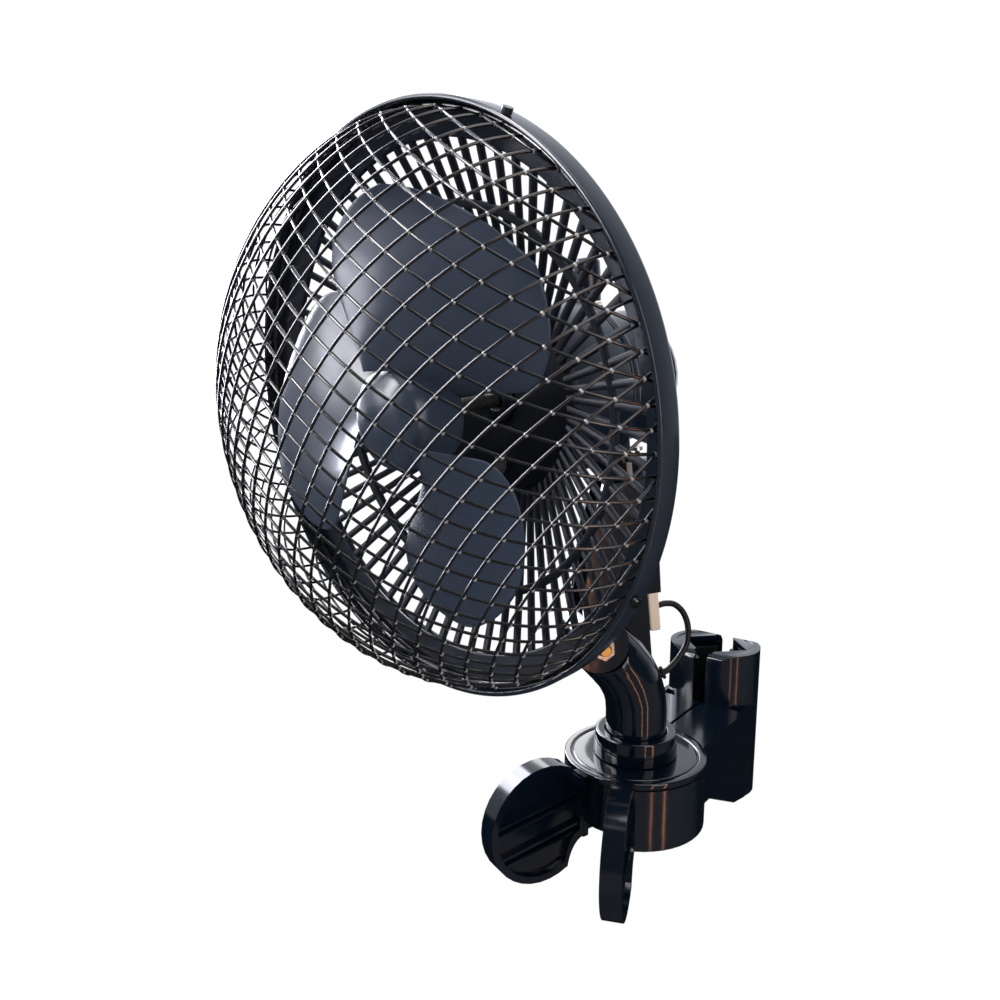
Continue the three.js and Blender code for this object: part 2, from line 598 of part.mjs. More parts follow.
function tiltBracket() {
  const stemBack = SWING_SETBACK + BRACKET_TOP_RADIUS;
  const stem = sideways([
    [-BRACKET_FRONT, BRACKET_FORK_TOP], [BRACKET_BACK, BRACKET_FORK_TOP], [BRACKET_BACK + 0.8, 50],
    [stemBack, bracketTop - 8], [stemBack, bracketTop], [SWING_SETBACK - BRACKET_TOP_RADIUS, bracketTop],
    [SWING_SETBACK - BRACKET_TOP_RADIUS, bracketTop - 8], [SWING_SETBACK - 17.3, 50],
  ], -forkOuter, forkOuter);
  const topRound = disc(BRACKET_TOP_RADIUS, 40, bracketTop, 32).translate([0, SWING_SETBACK, 0]);
  const topRoom = cut(box([-20, -30, bracketTop - 8], [20, 40, bracketTop + 1]),
    disc(BRACKET_TOP_RADIUS, 0, BEYOND, 32).translate([0, SWING_SETBACK, 0]));
  const near = join(discAcross(EAR_RADIUS, forkHalf, forkOuter, 32),
    box([forkHalf, -BRACKET_FRONT, 0], [forkOuter, 8, BRACKET_FORK_TOP + 1]));
  const far = join(discAcross(EAR_RADIUS, -forkOuter, -forkHalf, 32),
    sideways([[-BRACKET_FRONT, 0], [8, -9], [BRACKET_BACK - 5, -19], [BRACKET_BACK, -17], [BRACKET_BACK, BRACKET_FORK_TOP + 1],
      [-BRACKET_FRONT, BRACKET_FORK_TOP + 1]], -forkOuter, -forkHalf));
  const hollow = box([-forkHalf, -4, 24], [forkHalf, BRACKET_BACK - 4, bracketTop - BRACKET_PLATE]);
  const mouth = box([-forkHalf, -30, 10], [forkHalf, BRACKET_BACK - 4, 30]);
  const boltHole = discAcross(BOLT_RADIUS + GAP, -BEYOND, BEYOND, 20);
  const pinHole = disc(SWING_PIN_RADIUS + GAP, bracketTop - BRACKET_PLATE - 1, bracketTop + 5, 20)
    .translate([0, SWING_SETBACK, 0]);
  const stud = disc(crankPinRadius, bracketTop - 1, AXIS_HEIGHT + linkTop, 12)
    .translate([studSpot.x, SWING_SETBACK + studSpot.y, 0]);
  const body = join(cut(join(stem, topRound), topRoom, hollow, mouth), stud);
  return cut(join(body, near, far), boltHole, pinHole);
}
add(tilt, 'tilt_bracket', tiltBracket(), 'gloss');

const nutFace = forkOuter + GAP + WASHER_THICKNESS + GAP;
add(tilt, 'tilt_bolt', join(
  discAcross(BOLT_RADIUS, -nutFace - 0.5, nutFace + NUT_THICKNESS + BOLT_PROUD, 20),
  discAcross(BOLT_HEAD_RADIUS, -nutFace - BOLT_HEAD_HEIGHT, -nutFace, 20),
), 'brass');
add(tilt, 'tilt_nut', cut(
  raised(hexagon(NUT_ACROSS_FLATS), nutFace, nutFace + NUT_THICKNESS).rotate([0, 90, 0]),
  discAcross(BOLT_RADIUS + GAP, -BEYOND, BEYOND, 20),
), 'steel');
for (const [name, low] of [['tilt_washer_near', forkOuter + GAP], ['tilt_washer_far', -nutFace + GAP]]) {
  add(tilt, name, cut(discAcross(WASHER_RADIUS, low, low + WASHER_THICKNESS, 24),
    discAcross(BOLT_RADIUS + GAP, -BEYOND, BEYOND, 20)), 'steel');
}

// Nylon block that clamps the lead to the back of the bracket's far cheek.
const blockX = -forkHalf - blockWidth / 2;
add(tilt, 'cord_block', box([blockX - blockWidth / 2, blockFront, blockLow],
  [blockX + blockWidth / 2, blockFront + blockDepth, blockLow + blockHeight]), 'nylon');

// Lead from the block down into the neck, in the neck's frame; the points are chosen by hand.
const leadPoints = [
  [-10.5, 12.5, 65.4], [-10.4, 15.5, 66.1], [-9.6, 19.6, 65.7], [-8, 23.2, 62.4], [-6, 25, 56.8],
  [-4, 24.4, 50.3], [-2.5, 21.8, 45.3], [-1, 17.6, 40.8], [0, 14.2, 38.2],
];
const leadEnd = grommetSpot.clone().addScaledVector(grommetOut, 0.5 + grommetFlange + GAP);
const leadRoute = new THREE.CatmullRomCurve3([...leadPoints.map((point) => new THREE.Vector3(...point)), leadEnd],
  false, 'centripetal');
add(neck, 'lead_loop', rod(leadRoute, leadRadius, 18, 4), 'rubber');

// ---------------------------------------------------------------- swing drive
const pinHeadTop = bracketTop - BRACKET_PLATE - GAP;
add(tilt, 'swing_pin', join(
  disc(SWING_PIN_RADIUS, pinHeadTop - 0.5, AXIS_HEIGHT - CASE_RADIUS + 2, 20),
  disc(5, pinHeadTop - 1.5, pinHeadTop, 20),
).translate([0, SWING_SETBACK, 0]), 'steel');

function swingLink() {
  const along = studSpot.clone().sub(pinSpot);
  const barHalf = 1.5;
  const eyes = [0, LINK_LENGTH].map((x) => disc(eyeRadius, linkTop - linkThickness, linkTop, 16).translate([x, 0, 0]));
  const bores = [0, LINK_LENGTH].map((x) => disc(crankPinRadius + GAP, -60, 0, 12).translate([x, 0, 0]));
  const body = join(box([0, -barHalf, linkTop - linkThickness], [LINK_LENGTH, barHalf, linkTop]), ...eyes);
  return cut(body, ...bores).rotate([0, 0, THREE.MathUtils.radToDeg(along.angle())])
    .translate([pinSpot.x, pinSpot.y, 0]);
}
add(tilt, 'swing_link', swingLink().translate([0, SWING_SETBACK, AXIS_HEIGHT]), 'steel');

function gearCase() {
  const front = MOTOR_BACK - GAP;
  const inner = CASE_RADIUS - CASE_WALL;
  const shell = turnedForward([
    [0, CASE_BACK], [CASE_RADIUS - CASE_SLOPE, CASE_BACK], [CASE_RADIUS - CASE_SLOPE / 4, CASE_BACK + 5.5],
    [CASE_RADIUS, CASE_BACK + CASE_SLOPE], [CASE_RADIUS, front], [inner, front], [inner, CASE_BACK + CASE_SLOPE],
    [inner - CASE_SLOPE / 4, CASE_BACK + 5.5], [inner - 0.75 * CASE_SLOPE, CASE_BACK + CASE_WALL], [0, CASE_BACK + CASE_WALL],
  ], 32);
  const boss = disc(SWING_BOSS_RADIUS, bossLow, -inner + 1, 24);
  const knobTower = atGear(disc(6, 14, 30, 24));
  const inside = discForward(inner, CASE_BACK + CASE_WALL + 1, front + 1, 32);
  const bossBore = disc(SWING_PIN_RADIUS + 0.2, -60, -inner + 3, 20);
  const stemBore = atGear(disc(KNOB_STEM_RADIUS + GAP, 10, 60, 16));
  const crankBore = atGear(disc(KNOB_STEM_RADIUS + GAP + 0.4, -60, -10, 16));
  return cut(join(shell, cut(join(boss, knobTower), inside)), bossBore, stemBore, crankBore);
}
add(head, 'gear_case', gearCase(), 'satin');

const gearTop = 3;
const gearLow = -3;
function driveGear() {
  const teeth = 16;
  const outline = [];
  for (let i = 0; i < teeth; i += 1) {
    for (const [share, radius] of [[0, GEAR_RADIUS - 1], [0.25, GEAR_RADIUS], [0.5, GEAR_RADIUS], [0.75, GEAR_RADIUS - 1]]) {
      const angle = 2 * Math.PI * (i + share) / teeth;
      outline.push([radius * Math.cos(angle), radius * Math.sin(angle)]);
    }
  }
  return join(raised(outline, gearLow, gearTop), disc(5, gearLow - 5, gearLow + 1, 20),
    disc(KNOB_STEM_RADIUS, crankTop - 0.7, gearLow, 16));
}
add(head, 'drive_gear', atGear(cut(driveGear(), disc(KNOB_STEM_RADIUS + 0.2, -2, 10, 16))), 'nylon');

const crank = join(disc(CRANK_RADIUS, crankLow, crankTop, 24),
  disc(crankPinRadius, crankPinLow, crankLow + 0.5, 12)
    .translate([CRANK_THROW, 0, 0]).rotate([0, 0, THREE.MathUtils.radToDeg(crankAzimuth) - SWING]));
add(head, 'crank_disc', atGear(cut(crank, disc(KNOB_STEM_RADIUS + 0.2, crankTop - 1, crankTop + 1, 16))), 'nylon');

const knobLow = 30 + 0.6 + GAP;
const knobTop = knobLow + KNOB_HEIGHT;
add(head, 'knob_ring', atGear(ring(KNOB_STEM_RADIUS + GAP, 5.6, 30 + GAP, 30 + 0.9 + GAP, 24)), 'nylon');
add(head, 'swing_knob', atGear(join(
  turned([[0, knobLow + 0.6 + GAP], [KNOB_RADIUS - 0.8, knobLow + 0.6 + GAP], [KNOB_RADIUS, knobTop - 6],
    [KNOB_RADIUS, knobTop - 1.5], [KNOB_RADIUS - 1.5, knobTop], [0, knobTop]], 24),
  disc(KNOB_STEM_RADIUS, gearTop - 4, knobLow + 3, 16),
)), 'gloss');

// ---------------------------------------------------------------- motor
const bearingBack = MOTOR_BACK + MOTOR_WALL;
const bearingFront = MOTOR_FRONT + 2;
function motorFront() {
  const wall = MOTOR_RADIUS - MOTOR_WALL;
  const seat = BEARING_RADIUS + GAP;
  const nose = MOTOR_FRONT + 5;
  return turnedForward([
    [SHAFT_RADIUS + 0.6, nose], [PLATE_BORE - GAP, nose], [PLATE_BORE - GAP, MOTOR_FRONT], [MOTOR_RADIUS - 3, MOTOR_FRONT],
    [MOTOR_RADIUS, MOTOR_FRONT - 3], [MOTOR_RADIUS, MOTOR_SPLIT + GAP], [wall, MOTOR_SPLIT + GAP],
    [wall, MOTOR_FRONT - 4], [wall - 1.5, MOTOR_FRONT - MOTOR_WALL], [seat + 2.2, MOTOR_FRONT - MOTOR_WALL],
    [seat + 2.2, bearingFront - BEARING_LENGTH], [seat, bearingFront - BEARING_LENGTH], [seat, bearingFront + GAP],
    [SHAFT_RADIUS + 0.6, bearingFront + GAP],
  ], 32);
}
const atScrews = (piece) => [30, 150, 270].map((angle) => piece.translate([SCREW_CIRCLE, 0, 0]).rotate([0, -angle, 0]));
add(head, 'motor_front_housing',
  cut(motorFront(), ...atScrews(discForward(screwRadius + GAP, MOTOR_FRONT - 5, MOTOR_FRONT + 1, 12))), 'satin');

function motorRear() {
  const wall = MOTOR_RADIUS - MOTOR_WALL;
  const seat = BEARING_RADIUS + GAP;
  return turnedForward([
    [SHAFT_RADIUS + 0.6, MOTOR_BACK], [CASE_RADIUS + 2, MOTOR_BACK], [MOTOR_RADIUS, MOTOR_BACK + 4],
    [MOTOR_RADIUS, MOTOR_SPLIT], [wall, MOTOR_SPLIT], [wall, MOTOR_BACK + 5.2], [CASE_RADIUS, MOTOR_BACK + MOTOR_WALL],
    [seat + 2.2, MOTOR_BACK + MOTOR_WALL], [seat + 2.2, bearingBack + BEARING_LENGTH],
    [seat, bearingBack + BEARING_LENGTH], [seat, bearingBack], [SHAFT_RADIUS + 0.6, bearingBack],
  ], 32);
}
add(head, 'motor_rear_cover', motorRear(), 'satin');

const shaftRoom = SHAFT_RADIUS + 0.1;
add(head, 'front_bearing', ringForward(shaftRoom, BEARING_RADIUS, bearingFront - BEARING_LENGTH, bearingFront, 20), 'brass');
add(head, 'rear_bearing', ringForward(shaftRoom, BEARING_RADIUS, bearingBack + GAP, bearingBack + BEARING_LENGTH, 20), 'brass');

const stator = ringForward(STATOR_BORE, STATOR_RADIUS, STATOR_START, STATOR_START + STATOR_LENGTH, 32);
add(head, 'stator', stator, 'steel');
const coilDepth = 4;
for (const [name, low] of [['coil_rear', STATOR_START - coilDepth - GAP], ['coil_front', STATOR_START + STATOR_LENGTH + GAP]]) {
  add(head, name, turnedForward([[STATOR_BORE + 3, low], [STATOR_RADIUS - 3, low], [STATOR_RADIUS - 2, low + coilDepth / 2],
    [STATOR_RADIUS - 3, low + coilDepth], [STATOR_BORE + 3, low + coilDepth], [STATOR_BORE + 2, low + coilDepth / 2]], 24), 'copper');
}

const wormLength = 9;
const wormLow = KNOB_REACH - wormLength / 2;
const rotorStart = STATOR_START + 0.5;
const shaftTip = BLADE_HUB_FRONT - 6;
add(head, 'rotor', ringForward(SHAFT_RADIUS + GAP, ROTOR_RADIUS, rotorStart, rotorStart + STATOR_LENGTH - 1, 32), 'steel');
const flatDepth = 0.6;
add(head, 'motor_shaft', cut(discForward(SHAFT_RADIUS, wormLow - 1, shaftTip, 20),
  box([-5, -shaftTip - 1, SHAFT_RADIUS - flatDepth], [5, -BLADE_HUB_BACK - 2, SHAFT_RADIUS + 1])), 'steel');

function worm() {
  const threads = [];
  for (let along = 0; along <= wormLength; along += 3) {
    threads.push([WORM_RADIUS, along - 0.5], [WORM_RADIUS, along + 0.5], [WORM_RADIUS - 0.6, along + 0.8], [WORM_RADIUS - 0.6, along + 1.2]);
  }
  const last = threads[threads.length - 1][1];
  return turnedForward([[SHAFT_RADIUS + GAP, -0.5], ...threads, [SHAFT_RADIUS + GAP, last]], 12);
}
add(head, 'worm', worm().translate([0, -wormLow, 0]), 'brass');

// ---------------------------------------------------------------- blade
// One blade: a thin curved sheet over radius and angle, thickened along the fan axis.
function bladeSheet(centreAngle) {
  const across = 6;
  const out = 7;
  const inner = BLADE_HUB_RADIUS - 1;
  const surface = (u, v, side) => {
    const radius = inner + (BLADE_RADIUS - inner) * u;
    const tipRound = Math.sqrt(Math.max(1 - Math.max(u - 0.55, 0) ** 2 / 0.26, 0.12));
    const sweep = BLADE_SWEEP * (0.62 + 0.5 * Math.sin(Math.PI * Math.min(u * 0.9, 1))) * tipRound;
    const angle = rad(centreAngle + 8 * u + sweep * (2 * v - 1));
    const pitch = BLADE_PITCH * (1 - 0.35 * u);
    const along = BLADE_MIDDLE + pitch * (v - 0.5) + BLADE_CAMBER * Math.sin(Math.PI * v) + side * BLADE_THICKNESS / 2;
    return [radius * Math.cos(angle), -along, radius * Math.sin(angle)];
  };
  const positions = [];
  const index = [];
  const columns = across + 1;
  const layer = columns * (out + 1);
  for (const side of [-1, 1]) {
    for (let i = 0; i <= out; i += 1) {
      for (let j = 0; j <= across; j += 1) positions.push(...surface(i / out, j / across, side));
    }
  }
  const quad = (a, b, c, d) => index.push(a, c, b, a, d, c);
  for (let i = 0; i < out; i += 1) {
    for (let j = 0; j < across; j += 1) {
      const a = i * columns + j;
      quad(a, a + columns, a + columns + 1, a + 1);
      quad(layer + a, layer + a + 1, layer + a + columns + 1, layer + a + columns);
    }
  }
  for (let i = 0; i < out; i += 1) {
    const a = i * columns;
    const b = a + across;
    quad(a, layer + a, layer + a + columns, a + columns);
    quad(b, b + columns, layer + b + columns, layer + b);
  }
  for (let j = 0; j < across; j += 1) {
    const b = out * columns + j;
    quad(j, j + 1, layer + j + 1, layer + j);
    quad(b, layer + b, layer + b + 1, b + 1);
  }
  const geometry = new THREE.BufferGeometry();
  geometry.setAttribute('position', new THREE.Float32BufferAttribute(positions, 3));
  geometry.setIndex(index);
  return solid(geometry);
}

function bladeHub() {
  const inner = BLADE_HUB_RADIUS - BLADE_HUB_WALL;
  const floor = BLADE_HUB_FRONT - 1.5 * BLADE_HUB_WALL;
  const shell = turnedForward([
    [inner, BLADE_HUB_BACK], [BLADE_HUB_RADIUS, BLADE_HUB_BACK], [BLADE_HUB_RADIUS, BLADE_HUB_FRONT - BLADE_HUB_ROUND],
    [0.82 * BLADE_HUB_RADIUS, BLADE_HUB_FRONT - 0.2 * BLADE_HUB_ROUND], [0.53 * BLADE_HUB_RADIUS, BLADE_HUB_FRONT], [0, BLADE_HUB_FRONT],
    [0, floor], [0.7 * inner, floor], [inner, floor - BLADE_HUB_ROUND],
  ], 32);
  const post = discForward(2 * SHAFT_RADIUS, BLADE_HUB_BACK + BLADE_HUB_WALL, BLADE_HUB_FRONT - BLADE_HUB_WALL, 24);
  return cut(join(shell, post), discForward(SHAFT_RADIUS + GAP, BLADE_HUB_BACK - 5, shaftTip + GAP, 20));
}
const sheets = Array.from({ length: BLADE_COUNT }, (_, i) => bladeSheet(BLADE_ANGLE + i * 360 / BLADE_COUNT));
const hubRoom = discForward(BLADE_HUB_RADIUS - 0.8, 0, BEYOND, 32);
add(head, 'fan_blade', join(bladeHub(), cut(join(...sheets), hubRoom)), 'blade');

// ---------------------------------------------------------------- rear guard
const rimFront = RING_REACH;
const rimBack = RING_REACH - RIM_WIDTH;
const bandInner = RING_RADIUS - BAND_WIDTH;
const meshRadius = RING_RADIUS - MESH_INSET;
const catchReach = rimFront - MESH_SEAT + HOOP_LIFT + HOOP_WIRE / 2 + CATCH_RADIUS + GAP;
const plateBack = MOTOR_FRONT + GAP;
const plateFace = plateBack + PLATE_THICKNESS;
// The slats' back lies on a cone from just above the plate to the band's inner edge.
const coneStart = plateFace + 0.7;
const coneAt = (radius) => coneStart
  + (rimBack - BAND_SLOPE - coneStart) * (radius - PLATE_RADIUS) / (bandInner - PLATE_RADIUS);

function rearGuard() {
  const inner = RING_RADIUS - RIM_WALL;
  const rimAndBand = turnedForward([
    [bandInner, coneAt(bandInner)], [RING_RADIUS - 1, rimBack], [RING_RADIUS, rimBack + 1],
    [RING_RADIUS, rimFront], [inner, rimFront], [inner, rimBack + BAND_THICKNESS],
    [bandInner, coneAt(bandInner) + BAND_THICKNESS],
  ], SLAT_COUNT);
  const rib = turnedForward([
    [RIB_RADIUS - RIB_WIDTH / 2, coneAt(RIB_RADIUS)], [RIB_RADIUS + RIB_WIDTH / 2, coneAt(RIB_RADIUS) + 0.7],
    [RIB_RADIUS + RIB_WIDTH / 2, coneAt(RIB_RADIUS) + 0.7 + SLAT_THICKNESS],
    [RIB_RADIUS - RIB_WIDTH / 2, coneAt(RIB_RADIUS) + SLAT_THICKNESS],
  ], SLAT_COUNT);
  const plate = ringForward(PLATE_BORE, PLATE_RADIUS, plateBack, plateFace, SLAT_COUNT);
  const start = PLATE_RADIUS - 2;
  const end = bandInner + 1;
  const slat = sideways([
    [-coneAt(start) - SLAT_THICKNESS, start], [-coneAt(end) - SLAT_THICKNESS, end], [-coneAt(end), end], [-coneAt(start), start],
  ], -SLAT_WIDTH / 2, SLAT_WIDTH / 2);
  const slats = Array.from({ length: SLAT_COUNT }, (_, i) => slat.rotate([0, (i + 0.5) * 360 / SLAT_COUNT, 0]));
  const catchHoles = CATCH_ANGLES.map((angle) => disc(CATCH_RADIUS + GAP, meshRadius, BEYOND, 12)
    .translate([0, -catchReach, 0]).rotate([0, 90 - angle, 0]));
  const holes = atScrews(discForward(screwRadius + GAP, MOTOR_FRONT - 5, MOTOR_FRONT + 10, 12));
  return cut(join(rimAndBand, rib, plate, ...slats), ...holes, ...catchHoles);
}
add(head, 'rear_guard', rearGuard(), 'gloss');

atScrews(join(discForward(screwRadius, MOTOR_FRONT - 3.2, plateFace + 1, 12),
  discForward(3.6, plateFace + GAP, plateFace + GAP + 2, 16)))
  .forEach((screw, i) => add(head, `guard_screw_${i + 1}`, screw, 'steel'));

// ---------------------------------------------------------------- front mesh

// Height of the pressed mesh above the rim, at a distance from the fan axis.
function domeHeight(radius) {
  const share = Math.min(radius / meshRadius, 1);
  return MESH_HEIGHT * (1 - share ** MESH_POWER) ** MESH_ROUND;
}
const directionA = [Math.cos(rad(MESH_ANGLE_A)), Math.sin(rad(MESH_ANGLE_A))];
const directionB = [Math.cos(rad(MESH_ANGLE_B)), Math.sin(rad(MESH_ANGLE_B))];
const meshBase = rimFront - MESH_SEAT;
const onDome = ([x, z]) => new THREE.Vector3(x, -meshBase - domeHeight(Math.hypot(x, z)), z);

// Lattice of square wires pressed into the dome: a patch at each crossing and a link of four
// faces to each neighbour. A wire that leaves the dome runs on to end inside the hoop.
function frontMesh() {
  const limit = meshRadius - 0.04;
  const count = Math.ceil(2 * meshRadius / MESH_PITCH);
  const nodes = new Map();
  const key = (i, j) => `${i},${j}`;
  const place = (i, j) => [0, 1].map((k) => MESH_OFFSET[k] + MESH_PITCH * (i * directionA[k] + j * directionB[k]));
  for (let i = -count; i <= count; i += 1) {
    for (let j = -count; j <= count; j += 1) {
      const spot = place(i, j);
      if (Math.hypot(...spot) < limit - 4) nodes.set(key(i, j), { i, j, spot });
    }
  }
  const positions = [];
  const index = [];
  const quad = (a, b, c, d) => index.push(a, b, c, a, c, d);
  const half = WIRE / 2;
  const alongDome = (spot, direction) => {
    const step = 0.05;
    const ahead = onDome([spot[0] + direction[0] * step, spot[1] + direction[1] * step]);
    const behind = onDome([spot[0] - direction[0] * step, spot[1] - direction[1] * step]);
    return ahead.sub(behind).normalize();
  };
  // Eight corners of a patch: four on the outer face, then four on the inner face.
  const patch = (spot) => {
    const base = positions.length / 3;
    const a = alongDome(spot, directionA);
    const b = alongDome(spot, directionB);
    const out = b.clone().cross(a).normalize();
    for (const height of [half, -half]) {
      for (const [s, t] of [[1, 1], [-1, 1], [-1, -1], [1, -1]]) {
        positions.push(...onDome(spot).addScaledVector(a, s * half).addScaledVector(b, t * half)
          .addScaledVector(out, height).toArray());
      }
    }
    return base;
  };
  // Four faces from the corner pair p, q to the pair r, s further along the wire.
  const link = (p, q, r, s) => {
    quad(p, r, s, q);
    quad(p + 4, q + 4, s + 4, r + 4);
    quad(r, p, p + 4, r + 4);
    quad(q, s, s + 4, q + 4);
  };
  for (const node of nodes.values()) {
    node.base = patch(node.spot);
    const n = node.base;
    quad(n, n + 3, n + 2, n + 1);
    quad(n + 4, n + 5, n + 6, n + 7);
  }
  // The four ways on from a crossing: its corner pair there, and the pair that a link meets.
  const ways = [
    { step: [1, 0], near: [0, 3], far: [1, 2], direction: directionA },
    { step: [0, 1], near: [1, 0], far: [2, 3], direction: directionB },
    { step: [-1, 0], near: [2, 1], far: [3, 0], direction: directionA.map((value) => -value) },
    { step: [0, -1], near: [3, 2], far: [0, 1], direction: directionB.map((value) => -value) },
  ];
  for (const node of nodes.values()) {
    ways.forEach(({ step, near, far, direction }, way) => {
      const other = nodes.get(key(node.i + step[0], node.j + step[1]));
      let [p, q] = near.map((corner) => node.base + corner);
      if (other) {
        if (way < 2) link(p, q, other.base + far[0], other.base + far[1]);
        return;
      }
      const [x, z] = node.spot;
      const [dx, dz] = direction;
      const outward = x * dx + z * dz;
      const reach = -outward + Math.sqrt(outward * outward + limit * limit - x * x - z * z);
      const lengths = 1 + Math.ceil(reach / MESH_PITCH);
      for (let n = 1; n <= lengths; n += 1) {
        const run = reach * (1 - (1 - n / lengths) ** 2);
        const base = patch([x + dx * run, z + dz * run]);
        link(p, q, base + far[0], base + far[1]);
        [p, q] = [base + far[0], base + far[1]];
      }
      quad(p, p + 4, q + 4, q);
    });
  }
  const lattice = new THREE.BufferGeometry();
  lattice.setAttribute('position', new THREE.Float32BufferAttribute(positions, 3));
  lattice.setIndex(index);
  const hoop = turnedForward(Array.from({ length: 6 }, (_, i) => [
    meshRadius + HOOP_WIRE / 2 * Math.cos(Math.PI * i / 3), meshBase + HOOP_LIFT + HOOP_WIRE / 2 * Math.sin(Math.PI * i / 3),
  ]), 48);
  return join(solid(lattice), hoop);
}
add(head, 'front_grille', frontMesh(), 'wire');

// Pins through the rim's wall whose tips hold the mesh's hoop.
CATCH_ANGLES.forEach((angle, i) => {
  add(head, `guard_catch_${i + 1}`, join(
    disc(CATCH_RADIUS, meshRadius + HOOP_WIRE / 2 - CATCH_HOLD, RING_RADIUS + 1, 12),
    disc(CATCH_HEAD_RADIUS, RING_RADIUS + GAP, RING_RADIUS + GAP + CATCH_HEAD_HEIGHT, 16),
  ).translate([0, -catchReach, 0]).rotate([0, 90 - angle, 0]), 'steel');
});

export default fan;
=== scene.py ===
"""The clip fan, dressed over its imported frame: black gloss mouldings, a pressed wire mesh,
a smoky blade and plated fastenings, on a plain white studio floor."""

import json
import math

import bmesh
import bpy
import numpy as np
from mathutils import Matrix, Vector


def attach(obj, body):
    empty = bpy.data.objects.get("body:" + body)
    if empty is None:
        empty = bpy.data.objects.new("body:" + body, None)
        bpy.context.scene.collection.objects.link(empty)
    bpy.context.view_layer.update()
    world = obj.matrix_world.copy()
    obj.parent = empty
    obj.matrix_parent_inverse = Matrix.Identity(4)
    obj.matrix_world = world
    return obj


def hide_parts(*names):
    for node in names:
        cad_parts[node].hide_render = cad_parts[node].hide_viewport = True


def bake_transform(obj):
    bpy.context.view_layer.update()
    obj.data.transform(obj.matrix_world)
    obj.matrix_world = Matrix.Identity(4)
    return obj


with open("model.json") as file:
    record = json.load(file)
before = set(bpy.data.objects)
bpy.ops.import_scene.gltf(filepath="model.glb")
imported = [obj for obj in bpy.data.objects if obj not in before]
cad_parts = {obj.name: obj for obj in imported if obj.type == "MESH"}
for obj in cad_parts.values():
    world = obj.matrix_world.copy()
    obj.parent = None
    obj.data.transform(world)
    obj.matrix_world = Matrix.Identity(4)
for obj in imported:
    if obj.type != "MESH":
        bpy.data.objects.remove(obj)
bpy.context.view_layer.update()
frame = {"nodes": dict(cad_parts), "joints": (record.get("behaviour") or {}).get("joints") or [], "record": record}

# ---------------------------------------------------------------------------
# Camera. It stands to the right of the paddles, a little above the clip, and
# looks slightly down.
scene = bpy.context.scene
scene.view_settings.view_transform = "Standard"

camera_spot = (0.1820, -0.4346, 0.2001)
camera_yaw, camera_pitch, camera_roll = 36.62, 10.61, 0.13
film_width, focal_length = 36, 32.84
camera_data = bpy.data.cameras.new("camera")
camera_data.sensor_width = film_width
camera_data.lens = focal_length
camera = bpy.data.objects.new("camera", camera_data)
scene.collection.objects.link(camera)
camera.matrix_world = (
    Matrix.Translation(camera_spot)
    @ Matrix.Rotation(math.radians(camera_yaw), 4, "Z")
    @ Matrix.Rotation(math.radians(90 - camera_pitch), 4, "X")
    @ Matrix.Rotation(math.radians(camera_roll), 4, "Z")
)
scene.camera = camera

# ---------------------------------------------------------------------------
# Lead loop. A short loop of thin, rubber-covered black lead runs from the pale
# clamp on the bracket down into the neck through its grommet, and is held at
# both ends.
MM = 0.001
SAME_SPOT = 2e-6  # points closer than this, in metres, are merged
joints = {joint["name"]: joint for joint in frame["joints"]}


def place(origin, x_axis, z_axis):
    """4 x 4 matrix from millimetres in a piece's own frame to metres in the fan's frame: its
    columns are the X axis, Z cross X, the Z axis and the origin."""
    x, z = (np.array(axis, float) / np.linalg.norm(axis) for axis in (x_axis, z_axis))
    matrix = np.eye(4)
    matrix[:3, :3] = np.stack([x, np.cross(z, x), z], axis=1) * MM
    matrix[:3, 3] = origin
    return matrix


# The clip's frame and the neck's stand on the hub's axis, and the head's is where the swing and
# blade axes cross.
tilt_across = -np.array(joints["head_tilt"]["axis"])
swing_up = np.array(joints["head_swing"]["axis"])
blade_forward = np.array(joints["blade_spin"]["axis"])
HUB = place(joints["neck_swivel"]["pos_m"], (1, 0, 0), (0, 0, 1))
NECK = place(joints["neck_swivel"]["pos_m"], tilt_across, (0, 0, 1))
HEAD = place(joints["blade_spin"]["pos_m"], np.cross(-blade_forward, swing_up), swing_up)


def moved(points, matrix):
    """Points through a 4 x 4 matrix: each is turned and scaled, then shifted."""
    return points @ matrix[:3, :3].T + matrix[:3, 3]


def smooth_path(points, count):
    """A Catmull-Rom curve through given points: between two of them a cubic whose slope at
    each is half the step from its neighbour before to its neighbour after."""
    points = np.array(points, float)
    ends = np.vstack([2 * points[0] - points[1], points, 2 * points[-1] - points[-2]])
    along = np.linspace(0, len(points) - 1, count)
    i = np.minimum(along.astype(int), len(points) - 2)
    t = (along - i)[:, None]
    a, b, c, d = (ends[i + k] for k in range(4))
    square, cube = 2 * a - 5 * b + 4 * c - d, 3 * b - a - 3 * c + d
    return 0.5 * (2 * b + (c - a) * t + square * t**2 + cube * t**3)


def sweep(path, outline, up=(0, 0, 1)):
    """Outline of (across, upward) offsets carried along a path: each station's plane is square
    to the path, with across = along x up."""
    path, outline = np.array(path, float), np.array(outline, float)
    along = np.gradient(path, axis=0)
    along /= np.linalg.norm(along, axis=1, keepdims=True)
    across = np.cross(along, np.broadcast_to(np.array(up, float), along.shape))
    across /= np.linalg.norm(across, axis=1, keepdims=True)
    upward = np.cross(across, along)
    return path[:, None] + across[:, None] * outline[None, :, :1] + upward[:, None] * outline[None, :, 1:]


def circle(radius, count):
    """Points (r cos a, r sin a) on a circle, at even angles a."""
    angle = np.arange(count) * 2 * math.pi / count
    return radius * np.stack([np.cos(angle), np.sin(angle)], axis=1)


